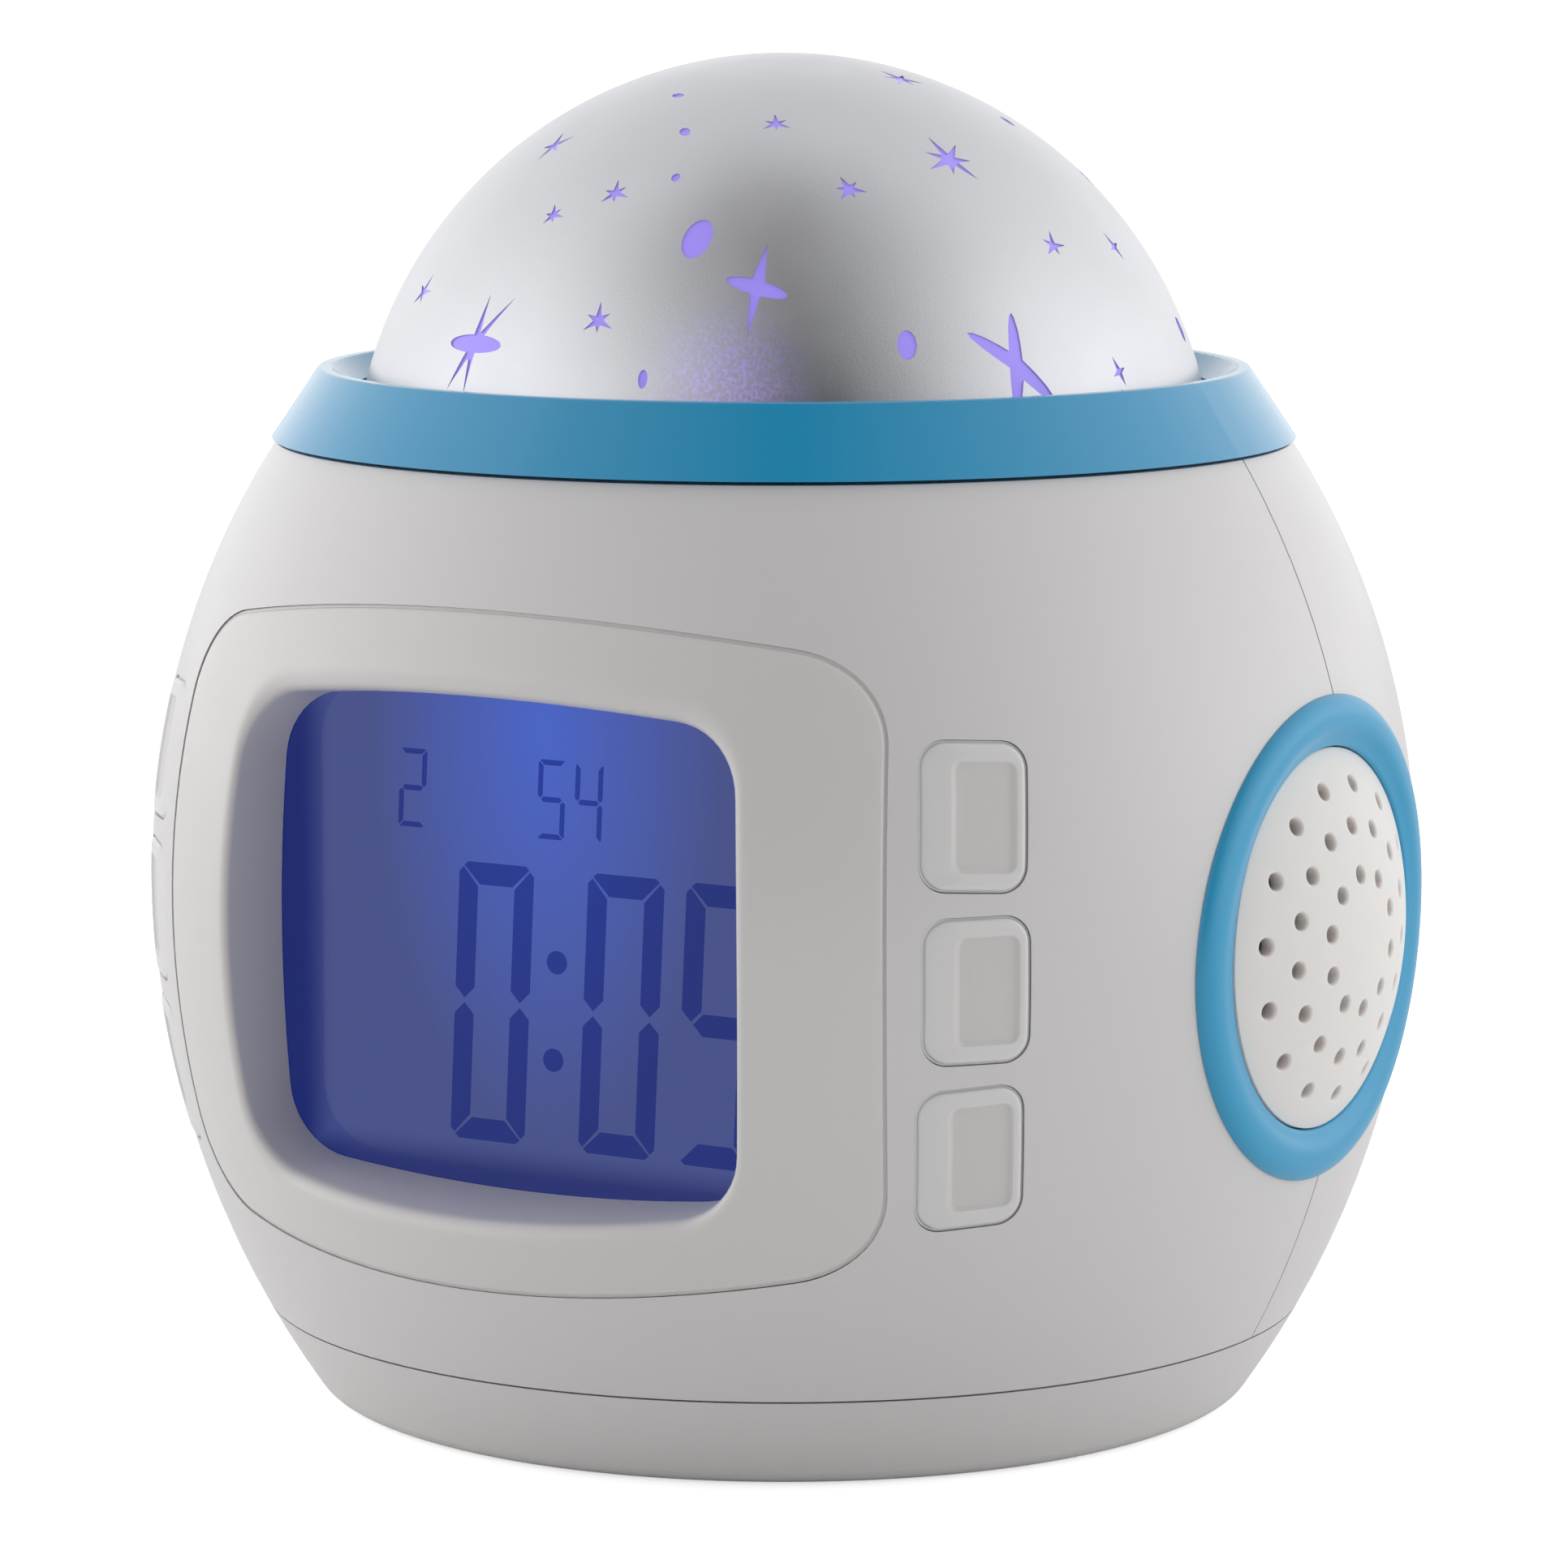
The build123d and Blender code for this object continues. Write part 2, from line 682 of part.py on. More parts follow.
def speaker_ring():
    """Blue trim ring: a collar through the wall and a proud flange that lies on the egg's skin."""
    crest_radius = speaker_ring_radius - speaker_ring_crest_inset
    flange_back = speaker_collar_end + wall / 2
    ring = side_ring([
        (speaker_collar_end, speaker_ring_bore), (speaker_collar_end, speaker_collar_radius),
        (flange_back, speaker_collar_radius), (flange_back, speaker_ring_radius),
        (speaker_ring_shoulder, speaker_ring_radius), (speaker_ring_crest, crest_radius),
        (speaker_ring_inner_edge, speaker_ring_bore),
    ])
    crest = [e for e in ring.edges() if abs(e.center().X - speaker_ring_crest) < 0.01]
    ring = fillet(crest, speaker_ring_round)
    under = egg(fit_gap / 2, base_seam_height, ring_seam_height)
    collar = Rot(0, 90, 0) * Cylinder(speaker_collar_radius, 2 * belly_radius)
    return ring - (under - Pos(0, 0, speaker_height) * collar)


def speaker_grille():
    """Domed grille with circles of holes, each with a soft countersink."""
    ball = (grille_radius ** 2 + grille_crown ** 2) / (2 * grille_crown)
    centre = grille_rim + grille_crown - ball
    inner_ball = ball - grille_wall
    inner = grille_radius - grille_wall
    inner_rim = centre + sqrt(inner_ball ** 2 - inner ** 2)
    half_turn = asin(grille_radius / ball) / 2
    top = centre + ball
    rise = cos(half_turn)
    out = sin(half_turn)
    edges = [
        Polyline((inner_rim, inner), (grille_skirt_end, inner), (grille_skirt_end, grille_radius)),
        Line((grille_skirt_end, grille_radius), (grille_rim, grille_radius)),
        ThreePointArc((grille_rim, grille_radius), (centre + ball * rise, ball * out), (top, 0)),
        Line((top, 0), (top - grille_wall, 0)),
        ThreePointArc(
            (top - grille_wall, 0), (centre + inner_ball * rise, inner_ball * out), (inner_rim, inner)
        ),
    ]
    solid = Pos(0, 0, speaker_height) * revolve(make_face(edges), axis=Axis.X)
    holes = []
    for count, circle, first in grille_circles:
        skin = centre + sqrt(ball ** 2 - circle ** 2)
        drill = side_ring([
            (grille_skirt_end, 0), (grille_skirt_end, grille_hole_radius),
            (skin - grille_sink_depth, grille_hole_radius),
            (skin + grille_sink_depth, 2 * grille_sink_radius - grille_hole_radius),
            (skin + grille_sink_depth, 0),
        ])
        for k in range(count):
            turn = radians(first + 360 / count * k)
            holes.append(Pos(0, circle * cos(turn), circle * sin(turn)) * drill)
    return solid - holes


def speaker_frame():
    """Pressed basket: a flange behind the ring's collar and a cone that narrows to the magnet."""
    front = driver_front - cone_wall
    flange_back = front - driver_flange
    mouth = cone_mouth_radius + cone_gap
    hole = cone_throat_radius + cone_gap
    return side_ring([
        (front, mouth), (front, speaker_collar_radius), (flange_back, speaker_collar_radius),
        (flange_back, mouth + driver_slope_room), (driver_throat, driver_throat_radius + driver_wall),
        (driver_throat, hole), (driver_throat + driver_wall, hole),
        (driver_throat + driver_wall, driver_throat_radius),
    ])


def speaker_cone():
    """Paper cone with a rim that is pinched on the basket and a domed cap over the voice coil."""
    mouth = driver_front - cone_wall
    throat = mouth - cone_depth
    rim = speaker_collar_radius - cone_rim_inset
    cap_edge = throat + cone_wall
    cap_ball = (cone_throat_radius ** 2 + cone_cap_height ** 2) / (2 * cone_cap_height)
    half = cone_throat_radius / 2
    half_rise = cone_cap_height - cap_ball + sqrt(cap_ball ** 2 - half ** 2)
    edges = [
        Polyline(
            (cap_edge, cone_throat_radius), (driver_front, cone_mouth_radius), (driver_front, rim),
            (mouth, rim), (mouth, cone_mouth_radius), (throat, cone_throat_radius), (throat, 0),
            (cap_edge + cone_cap_height, 0),
        ),
        ThreePointArc(
            (cap_edge + cone_cap_height, 0), (cap_edge + half_rise, half), (cap_edge, cone_throat_radius)
        ),
    ]
    return Pos(0, 0, speaker_height) * revolve(make_face(edges), axis=Axis.X)


def speaker_magnet():
    back = driver_throat - driver_magnet_height
    front = driver_throat - fit_gap / 2
    return side_ring([
        (back, 0), (back, driver_magnet_radius - driver_magnet_chamfer),
        (back + driver_magnet_chamfer, driver_magnet_radius), (front, driver_magnet_radius), (front, 0),
    ])


# Collar ring, dome and lamp


def dome_surface_radius(height, radius=dome_radius):
    return sqrt(radius ** 2 - (height - dome_centre_height) ** 2)


def top_ring():
    """Blue collar: a sloping outer band, a rounded lip, a bore round the dome and a spigot in the shells."""
    outer = egg_radius(ring_seam_height) + ring_overhang
    lip = dome_radius + ring_lip_offset
    bore = dome_surface_radius(dome_skirt_height) + dome_ring_gap
    step = dome_flange_high + fit_gap
    flange_room = deck_radius + fit_gap
    bottom = ring_low - ring_spigot_depth
    ring = ring_of([
        (outer, ring_low), (lip, ring_top), (lip - ring_lip_width, ring_top), (bore, ring_top - ring_bore_drop),
        (bore, step), (flange_room, step), (flange_room, bottom), (ring_spigot_radius, bottom),
        (ring_spigot_radius, ring_low),
    ])
    edges = [e for e in ring.edges() if abs(e.center().Z - ring_top) < 0.01]
    return fillet(edges, ring_edge_round)


def dome_shell():
    """Half-ball shell with a short skirt and a flange that the collar ring traps on the deck."""
    inner_radius = dome_radius - dome_wall
    skirt = dome_surface_radius(dome_skirt_height)
    inner = dome_surface_radius(dome_skirt_height, inner_radius)
    middle = dome_centre_height + dome_radius / sqrt(2)
    inner_middle = dome_centre_height + inner_radius / sqrt(2)
    top = dome_centre_height + dome_radius
    edges = [
        ThreePointArc((0, top), (dome_surface_radius(middle), middle), (skirt, dome_skirt_height)),
        Polyline(
            (skirt, dome_skirt_height), (skirt, dome_flange_high), (deck_radius, dome_flange_high),
            (deck_radius, dome_flange_low), (inner, dome_flange_low), (inner, dome_skirt_height),
        ),
        ThreePointArc(
            (inner, dome_skirt_height), (dome_surface_radius(inner_middle, inner_radius), inner_middle),
            (0, top - dome_wall),
        ),
        Line((0, top - dome_wall), (0, top)),
    ]
    return revolve(Plane.XZ * make_face(edges), axis=Axis.Z)


def star_outline(arms, reach, width_share, turn):
    """Thin-armed star whose second arms are shorter, or an oval."""
    if arms == 0:
        return Rot(0, 0, turn) * Ellipse(reach * width_share, reach)
    points = []
    for k in range(2 * arms):
        shorter = short_arm if arms % 2 == 0 and k % 4 == 2 else 1.0
        arm = reach * (shorter if k % 2 == 0 else star_waist)
        angle = radians(180 / arms * k)
        points.append((arm * sin(angle) * width_share, arm * cos(angle)))
    return Rot(0, 0, turn) * make_face(Polyline(*points, close=True))


def star_cutter(azimuth, elevation, arms, reach, width_share, turn):
    """Star-shaped punch through the dome's wall."""
    east = radians(azimuth)
    rise = radians(elevation)
    out = Vector(sin(east) * cos(rise), -cos(east) * cos(rise), sin(rise))
    centre = Vector(0, 0, dome_centre_height) + out * (dome_radius - 2 * dome_wall)
    plane = Plane(origin=centre, x_dir=(cos(east), sin(east), 0), z_dir=out)
    return extrude(plane * star_outline(arms, reach, width_share, turn), amount=4 * dome_wall)


def star_dome():
    """Coated dome with its star-shaped openings, and the clear windows that fill them."""
    shell = dome_shell()
    cutters = []
    for azimuth, *star in star_places:
        for side in (0, 180):
            cutters.append(star_cutter(azimuth + side, *star))
    windows = [shell & cutter for cutter in cutters]
    return shell - cutters, windows


def lamp_deck():
    """Round deck under the dome, with a hole for the lamps and posts that carry their board."""
    solid = post(deck_radius, deck_low, dome_flange_low) - post(deck_hole_radius, deck_low, dome_flange_low)
    for x, y in lamp_posts:
        solid += post(lamp_post_radius, lamp_board_high, deck_low, x, y)
        solid -= post(small_screw_radius + screw_clearance, lamp_board_high, deck_low, x, y)
    return solid


def lamp_board():
    solid = post(lamp_board_radius, lamp_board_low, lamp_board_high)
    for x, y in lamp_posts:
        solid -= post(small_screw_radius + screw_clearance, lamp_board_low, lamp_board_high, x, y)
    return solid


def lamp_screws():
    under = Plane.XY.offset(lamp_board_low)
    return [small_screw(under * Pos(x, y), lamp_board_thickness) for x, y in lamp_posts]


def projector_leds():
    """Cluster of round-nosed lamps on the board, one for each colour."""
    shoulder = lamp_board_high + led_height - led_radius
    solids = []
    for k in range(led_count):
        turn = radians(180 / led_count + 360 / led_count * k)
        x = led_circle * cos(turn)
        y = led_circle * sin(turn)
        stem = post(led_radius, lamp_board_high, shoulder, x, y)
        solids.append(stem + Pos(x, y, shoulder) * Sphere(led_radius))
    return solids


# Base and battery compartment


def base_cover():
    """Dish with a standing rim, a battery box, screw pillars and a lip inside the shells."""
    top = base_seam_height - seam_gap / 2
    lip_top = base_seam_height + lip_height
    solid = egg(0, 0, top)
    bottom = [e for e in solid.edges() if abs(e.center().Z) < 0.01 and e.length > 1]
    solid = fillet(bottom, base_edge_round)
    solid -= egg(-wall, floor_high, base_seam_height)
    lip_radius = egg_radius(base_seam_height, -wall) - fit_gap
    lip = tube(lip_radius, lip_radius - lip_wall, floor_high, lip_top)
    solid += lip & (egg(-fit_gap, 0, top) + post(lip_radius, top, lip_top))
    length = box_half_length + box_wall
    width = box_half_width + box_wall
    solid += block((-length, length), (-width, width), (floor_high, box_high + box_wall))
    solid -= block((-box_half_length, box_half_length), (-box_half_width, box_half_width), (floor_high, box_high))
    solid -= post(stand_rim_inner, 0, floor_low)
    length = door_half_length + door_gap
    width = door_half_width + door_gap
    solid -= block((-length, length), (-width, width), (floor_low, floor_high))
    sink = screw_head_radius + screw_clearance
    hole = case_screw_radius + screw_clearance
    for x in (-case_screw_x, case_screw_x):
        for y in (-case_screw_y, case_screw_y):
            solid += post(sink + boss_wall, floor_high, case_head_high + boss_wall, x, y)
            solid += post(hole + boss_wall, case_head_high, base_seam_height, x, y)
            solid -= post(sink, 0, case_head_high, x, y)
            solid -= post(hole, 0, base_seam_height, x, y)
            solid -= post(case_screw_radius + boss_wall + fit_gap, base_seam_height, lip_top, x, y)
    return solid


def case_screws():
    tip = base_seam_height + case_screw_length - fit_gap
    solids = []
    for x in (-case_screw_x, case_screw_x):
        for y in (-case_screw_y, case_screw_y):
            head = post(screw_head_radius, case_head_high - screw_head_height, case_head_high, x, y)
            solids.append(head + post(case_screw_radius, case_head_high, tip, x, y))
    return solids


def battery_door():
    """Flat door with a rounded hinge edge and two hooking tabs at one end, and a sprung, grooved tongue."""
    solid = block(
        (-door_half_length, door_half_length), (-door_half_width, door_half_width), (floor_low, floor_high)
    )
    hinge_edge = solid.edges().filter_by(Axis.Y).group_by(Axis.Z)[0].sort_by(Axis.X)[0]
    solid = fillet(hinge_edge, door_hinge_round)
    root = -door_half_length + door_tab_root
    tongue = (door_half_length - door_tongue_length, door_half_length)
    tab_low = floor_high + door_gap
    for side in (-1, 1):
        middle = side * door_half_width / 2
        span = (middle - door_tab_width / 2, middle + door_tab_width / 2)
        solid += block((-box_half_length + door_gap, root), span, (tab_low, tab_low + door_tab_thickness))
        solid += block((-door_half_length, root), span, (floor_high, tab_low))
        edge = side * door_tongue_width / 2
        solid -= block(tongue, (edge, edge + side * door_tongue_slit), (floor_low, floor_high))
    for k in range(door_grip_count):
        x = door_half_length - door_grip_pitch * (k + 1)
        groove = (x - door_grip_width / 2, x + door_grip_width / 2)
        half = door_tongue_width / 2 - door_tongue_slit
        solid -= block(groove, (-half, half), (floor_low, floor_low + door_grip_depth))
    return solid


def aaa_cells():
    body = Cylinder(cell_radius, cell_length - cell_nub_length)
    body = fillet(body.edges().filter_by(GeomType.CIRCLE), cell_edge_round)
    nub = post(cell_nub_radius, 0, cell_length / 2)
    cell = Pos(0, 0, -cell_nub_length / 2) * body + nub
    solids = []
    for y, way in cell_rows:
        solids.append(Pos(way * cell_shift, y, cell_axis_height) * Rot(0, 90 * way, 0) * cell)
    return solids


def strip_contact(y, way, room):
    """Bent metal strip against the end wall of the box, bulging towards its cell."""
    half = contact_height / 2
    bend = half - contact_foot
    nose = contact_nose / 2
    back = box_half_length - fit_gap
    front = back - contact_strip
    tip = back - room + 2 * fit_gap
    outline = make_face(Polyline(
        (back, -half), (back, half), (front, half), (front, bend), (tip, nose), (tip, -nose),
        (front, -bend), (front, -half), close=True,
    ))
    solid = extrude(Plane.XZ * outline, amount=contact_width / 2, both=True)
    return Pos(0, y, cell_axis_height) * Rot(0, 0, 0 if way > 0 else 180) * solid


def save(name, solids):
    """Write one piece, or a list of like pieces, moved from the housing's axis to the origin."""
    to_origin = Pos(0, -middle_y, 0)
    if isinstance(solids, list):
        shape = Compound(children=[to_origin * solid for solid in solids])
    else:
        shape = to_origin * solids
    export_step(shape, f"parts/{name}.step")


def main():
    os.makedirs("parts", exist_ok=True)
    shell = housing()
    save("front_shell", front_shell(shell))
    save("rear_shell", rear_shell(shell))
    save("base_cover", base_cover())
    save("battery_door", battery_door())
    save("aaa_cells", aaa_cells())
    save("plate_contacts", [strip_contact(y, way, plate_room) for y, way in cell_rows])
    save("spring_contacts", [strip_contact(y, -way, spring_room) for y, way in cell_rows])
    save("case_screws", case_screws())
    save("display_bezel", display_bezel())
    save("lcd_glass", lcd_glass())
    save("lcd_frame", lcd_frame())
    save("backlight", backlight())
    save("zebra_strip", zebra_strip())
    save("main_pcb", main_pcb())
    save("pcb_screws", pcb_screws())
    save("controller_chip", controller_chip())
    save("clock_crystal", clock_crystal())
    key_names = ("sound", "up", "down", "mode", "set", "light")
    for name, (side, row) in zip(key_names, key_places):
        save(f"{name}_button", key_cap(side, row))
    save("button_board_right", key_board(1))
    save("button_board_left", key_board(-1))
    save("tact_switches", [tact_switch(side, row) for side, row in key_places])
    screws = [small_screw(key_board_plane(side) * Pos(0, rise), pcb_thickness) for side, rise in key_posts]
    save("button_board_screws", screws)
    ring = speaker_ring()
    grille = speaker_grille()
    save("speaker_ring_right", ring)
    save("speaker_ring_left", mirror(ring, Plane.YZ))
    save("speaker_grille_right", grille)
    save("speaker_grille_left", mirror(grille, Plane.YZ))
    save("speaker_frame", speaker_frame())
    save("speaker_cone", speaker_cone())
    save("speaker_magnet", speaker_magnet())
    save("top_ring", top_ring())
    dome, windows = star_dome()
    save("star_dome", dome)
    save("star_windows", windows)
    save("lamp_deck", lamp_deck())
    save("lamp_board", lamp_board())
    save("lamp_screws", lamp_screws())
    save("projector_leds", projector_leds())


main()
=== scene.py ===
from math import asin, atan, atan2, cos, pi, radians, sin, sqrt, tan

import bmesh
import bpy
from mathutils import Matrix, Vector


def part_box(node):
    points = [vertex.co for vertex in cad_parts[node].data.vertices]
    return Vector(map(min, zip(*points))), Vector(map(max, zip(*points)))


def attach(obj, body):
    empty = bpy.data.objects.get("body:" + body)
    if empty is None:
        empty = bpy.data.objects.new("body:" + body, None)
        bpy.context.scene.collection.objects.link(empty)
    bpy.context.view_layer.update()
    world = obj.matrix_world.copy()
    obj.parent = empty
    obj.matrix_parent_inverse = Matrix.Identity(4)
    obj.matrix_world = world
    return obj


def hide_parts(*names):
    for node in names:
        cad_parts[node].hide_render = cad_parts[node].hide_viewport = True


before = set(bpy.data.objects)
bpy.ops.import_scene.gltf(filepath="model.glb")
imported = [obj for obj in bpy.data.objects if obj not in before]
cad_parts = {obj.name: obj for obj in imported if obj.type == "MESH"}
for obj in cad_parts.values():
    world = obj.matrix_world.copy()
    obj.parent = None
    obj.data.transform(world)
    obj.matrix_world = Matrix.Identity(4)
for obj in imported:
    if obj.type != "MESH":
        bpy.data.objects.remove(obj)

bl_info = {
    "name": "Star projector alarm clock",
    "version": (1, 1, 0),
    "blender": (4, 5, 0),
    "location": "3D View > Sidebar > Clock",
    "description": "Mouldings, finishes, display and studio for the star projector clock",
    "category": "Object",
}

MM = 0.001
HOUSING = "housing"
RIGHT_KEYS = ("sound_button", "up_button", "down_button")
LEFT_KEYS = ("mode_button", "set_button", "light_button")
GLASS_LOW, GLASS_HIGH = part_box("lcd_glass")
DOME_LOW, DOME_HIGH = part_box("star_dome")
AXIS_Y = (DOME_LOW.y + DOME_HIGH.y) / 2
CREASE = radians(35)
MERGE = 0.0005 * MM
QUARTER = (0.0, 22.5, 45.0, 67.5, 90.0)

# Outlines on the front: half width, half height, bow of the sides, bow of top and foot, corner, in millimetres
PLATE_OUTLINE = (32.8, 26.2, 1.8, 3.4, 8.0)
WINDOW_OUTLINE = (23.8, 20.3, 1.2, 1.6, 6.0)
WINDOW_END_OUTLINE = (22.8, 19.6, 1.2, 1.6, 6.0)
FACE_BANDS = 13

# Keys: height of the top one and the step to the next, in millimetres, and bands of the skin in the label panel
KEY_TOP, KEY_PITCH = 54.1, 13.1
PANEL_BANDS = 7

# Strokes of a seven-stroke digit that are dark for each sign shown
LIT_STROKES = {
    "0": "abcdef", "2": "abged", "4": "fgbc", "5": "afgcd", "9": "abcdfg",
}
# Signs of the display: digit, left end in millimetres and whether it is large
SIGNS = (
    ("0", -6.9, True), ("0", 5.0, True), ("9", 13.9, True), ("2", -11.6, False), ("5", 1.3, False), ("4", 4.7, False),
)
# Colon: place, and rises of its dots over the foot of the large digits, in millimetres
COLON_LEFT, COLON_RISES = 2.4, (7.0, 14.7)

# Grille holes: how many, circle radius in millimetres, turn in degrees
HOLE_CIRCLES = ((10, 5.4, 22.0), (15, 9.2, 18.7), (15, 12.4, 6.7))

# Large stars: azimuth, elevation, then arms of angle, length, half width and whether they are round
LARGE_STARS = (
    (-17, 22, ((0, 3.1, 0.75, True), (180, 3.1, 0.75, True), (91, 4.2, 0.42, False), (55, 5.0, 0.34, False),
               (242, 4.4, 0.42, False), (272, 4.2, 0.36, False))),
    (27, 31, ((-17, 2.5, 0.66, True), (163, 2.5, 0.66, True), (80, 3.9, 0.62, False), (262, 4.2, 0.5, False))),
    (64, 20, ((144, 4.7, 0.62, True), (82, 4.2, 0.6, True), (260, 3.9, 0.62, True), (315, 4.5, 0.66, True))),
)
# Small stars: azimuth, elevation, arms, reach, half width as a share of it, turn
SMALL_STARS = (
    (67, 51, 7, 2.9, 0.15, 8), (43, 46, 6, 1.5, 0.24, 20), (29, 59, 6, 1.4, 0.2, 5), (-1, 45, 6, 1.5, 0.2, 15),
    (-12, 41, 6, 1.2, 0.22, 25), (4, 26, 6, 1.6, 0.2, 5), (79, 36, 5, 1.5, 0.2, -20), (-29, 53, 5, 2.0, 0.16, 30),
    (86, 71, 6, 2.2, 0.18, 0), (97, 35, 4, 1.5, 0.2, 15), (-37, 28, 5, 1.7, 0.18, -10), (83, 18, 4, 1.4, 0.2, 20),
    (118, 46, 6, 1.9, 0.18, 12),
)
# Lengths of a small star's arms, as shares of its reach
ARM_SHARES = (1.0, 0.72, 0.9, 0.62, 0.95, 0.7, 0.85)
# Round drops: azimuth, elevation, half height, half width as a share of it, turn
DROPS = (
    (17, 38, 1.85, 0.62, -12), (48, 23, 1.2, 0.65, -6), (12, 18.5, 0.75, 0.5, 0), (7, 57, 0.6, 0.7, 40),
    (-5, 66, 0.6, 0.6, 80), (10, 48, 0.45, 0.8, 0), (110, 22, 1.1, 0.65, 10), (106, 58, 0.7, 0.7, 0),
)


def length(millimetres, description):
    return bpy.props.FloatProperty(description=description, default=millimetres * MM, unit="LENGTH", precision=5)


def colour(rgb, description):
    return bpy.props.FloatVectorProperty(
        description=description, default=rgb, size=3, min=0.0, max=1.0, subtype="COLOR"
    )


def share(value, description):
    return bpy.props.FloatProperty(description=description, default=value, min=0.0, max=1.0, subtype="FACTOR")


def turn(degrees, description):
    return bpy.props.FloatProperty(description=description, default=radians(degrees), subtype="ANGLE")


class ClockSizes(bpy.types.PropertyGroup):
    """Sizes of the housing's skin and of the pieces that the scene shapes on it."""

    belly_radius: length(52.0, "Largest radius of the housing")
    belly_height: length(42.9, "Height of the largest radius over the table")
    upper_arc: length(64.8, "Radius of the housing's side line over the belly")
    lower_arc: length(73.5, "Radius of the housing's side line under the belly")

    plate_middle: length(42.35, "Height of the middle of the display surround")
    plate_thickness: length(1.2, "Thickness of the display surround")
    plate_flange: length(0.22, "How far the surround's hidden edge fills the groove round it")
    plate_groove: length(0.17, "Depth of the groove round the surround")
    plate_round: length(0.17, "Rounding of the surround's outer edge")
    window_middle: length(42.0, "Height of the middle of the window")
    window_round: length(0.9, "Rounding of the window's front edge at its sides")
    brow_round: length(2.3, "Rounding of the window's front edge at its top")
    sill_round: length(1.7, "Rounding of the window's front edge at its foot")
    window_back: length(39.4, "Distance of the window's inner end from the axis")
    funnel_wall: length(1.5, "Thickness of the window's inner wall")

    speaker_height: length(41.0, "Height of the speaker's middle")
    trim_radius: length(19.3, "Outer radius of the blue speaker ring")
    trim_rise: length(0.72, "How far the speaker ring stands over the housing's skin")
    trim_bore: length(15.2, "Inner radius of the speaker ring")
    trim_collar: length(17.05, "Radius of the speaker ring's part inside the housing")
    trim_back: length(46.0, "Distance of the speaker ring's back from the middle")
    grille_radius: length(15.08, "Radius of the speaker grille")
    grille_ball: length(30.26, "Radius of the grille's bulge")
    grille_top: length(53.5, "Distance of the grille's crown from the middle")
    grille_wall: length(1.5, "Thickness of the grille")
    grille_back: length(46.4, "Distance of the grille's skirt from the middle")
    hole_radius: length(0.68, "Radius of a grille hole")
    hole_round: length(0.3, "Rounding of a grille hole's mouth")

    dome_radius: length(35.2, "Outer radius of the dome")
    dome_middle: length(74.4, "Height of the dome's centre")
    dome_wall: length(1.6, "Thickness of the dome")
    dome_skirt: length(79.3, "Height of the dome's lower edge")
    window_sink: length(0.14, "How deep the star windows lie under the silver coat")

    key_width: length(8.2, "Width of a key")
    key_tall: length(10.9, "Height of a key")
    key_corner: length(1.9, "Corner radius of a key")
    key_rise: length(0.14, "How far a key stands over the housing's skin")
    key_round: length(0.26, "Rounding of a key's edge")
    key_slope: length(0.3, "Fall of a key's sloped side")
    key_panel: length(0.24, "Depth of the label panel in a key")
    key_turn: turn(47.2055, "Where the keys stand round the housing")
    key_upright: turn(31.0, "View in which the keys' sides look upright")

    digit_height: length(22.0, "Height of the large digits")
    digit_width: length(6.9, "Width of the large digits")
    digit_stroke: length(1.75, "Width of a stroke of the large digits")
    digit_low: length(26.0, "Height of the foot of the large digits over the table")
    digit_slant: share(0.05, "Lean of the digits for each unit of height")
    stroke_gap: length(0.2, "Pale gap between two strokes of a digit")
    colon_dot: length(0.92, "Radius of a dot of the colon")
    small_height: length(6.2, "Height of the small digits")
    small_width: length(2.5, "Width of the small digits")
    small_stroke: length(0.42, "Width of a stroke of the small digits")
    small_low: length(50.3, "Height of the foot of the small digits over the table")
    ink_thickness: length(0.03, "Depth of the dark segments on the glass")


class ClockColours(bpy.types.PropertyGroup):
    """Colours of the clock's finishes, as they are under plain white light, and of the lamplight and shade painted on
    the dome, star windows, display and key panels.
    """

    shell: colour((0.67, 0.652, 0.654), "Satin off-white housing")
    bezel: colour((0.67, 0.651, 0.645), "Cream-white plate round the display")
    collar: colour((0.010, 0.30, 0.56), "Glossy sky blue ring under the dome")
    trim: colour((0.03, 0.34, 0.60), "Satin azure ring round each grille")
    grille: colour((0.80, 0.78, 0.765), "Matt white speaker grille")
    silver: colour((0.66, 0.665, 0.695), "Silver coat of the dome")
    # The halo colours are painted lamplight: the silver coat glows with them by itself.
    halo: colour((0.15, 0.07, 0.60), "Violet speckle of lamplight low on the dome")
    halo_foot: colour((0.36, 0.06, 0.34), "Magenta end of the lamplight at the dome's foot")
    # The star colour is painted lamplight: the star windows glow with it by themselves; the LEDs inside don't light
    # them.
    star: colour((0.29, 0.22, 0.74), "Violet light in the star windows")
    # The field and ink colours are glow painted on the display glass and its segments, in place of the backlight
    # behind them.
    field: colour((0.048, 0.066, 0.232), "Blue field of the display away from its lamp")
    field_lamp: colour((0.05, 0.11, 0.54), "Blue field of the display near its lamp")
    # Painted shade: this dark colour at the field's left and foot stands for the shade of the window's inner wall.
    field_wall_shade: colour((0.010, 0.020, 0.15), "Dark edge of the display field")
    ink: colour((0.002, 0.014, 0.175), "Dark segments of the display at their foot")
    ink_lamp: colour((0.002, 0.026, 0.29), "Dark segments of the display near its lamp")
    key: colour((0.73, 0.72, 0.722), "Milky key caps")
    # The panel colour is a duller finish, and its darker tone partly stands as painted shade in the sunk panel.
    panel: colour((0.65, 0.635, 0.63), "Duller sunk label panels of the keys")
    inner: colour((0.72, 0.72, 0.71), "Plain white mouldings inside")
    board: colour((0.02, 0.16, 0.07), "Green solder resist")
    steel: colour((0.66, 0.66, 0.64), "Nickel plate of screws and contacts")
    cone: colour((0.42, 0.27, 0.22), "Warm brown paper of the speaker cone")


def sizes():
    return bpy.context.scene.clock_sizes


def colours():
    return bpy.context.scene.clock_colours


# Materials


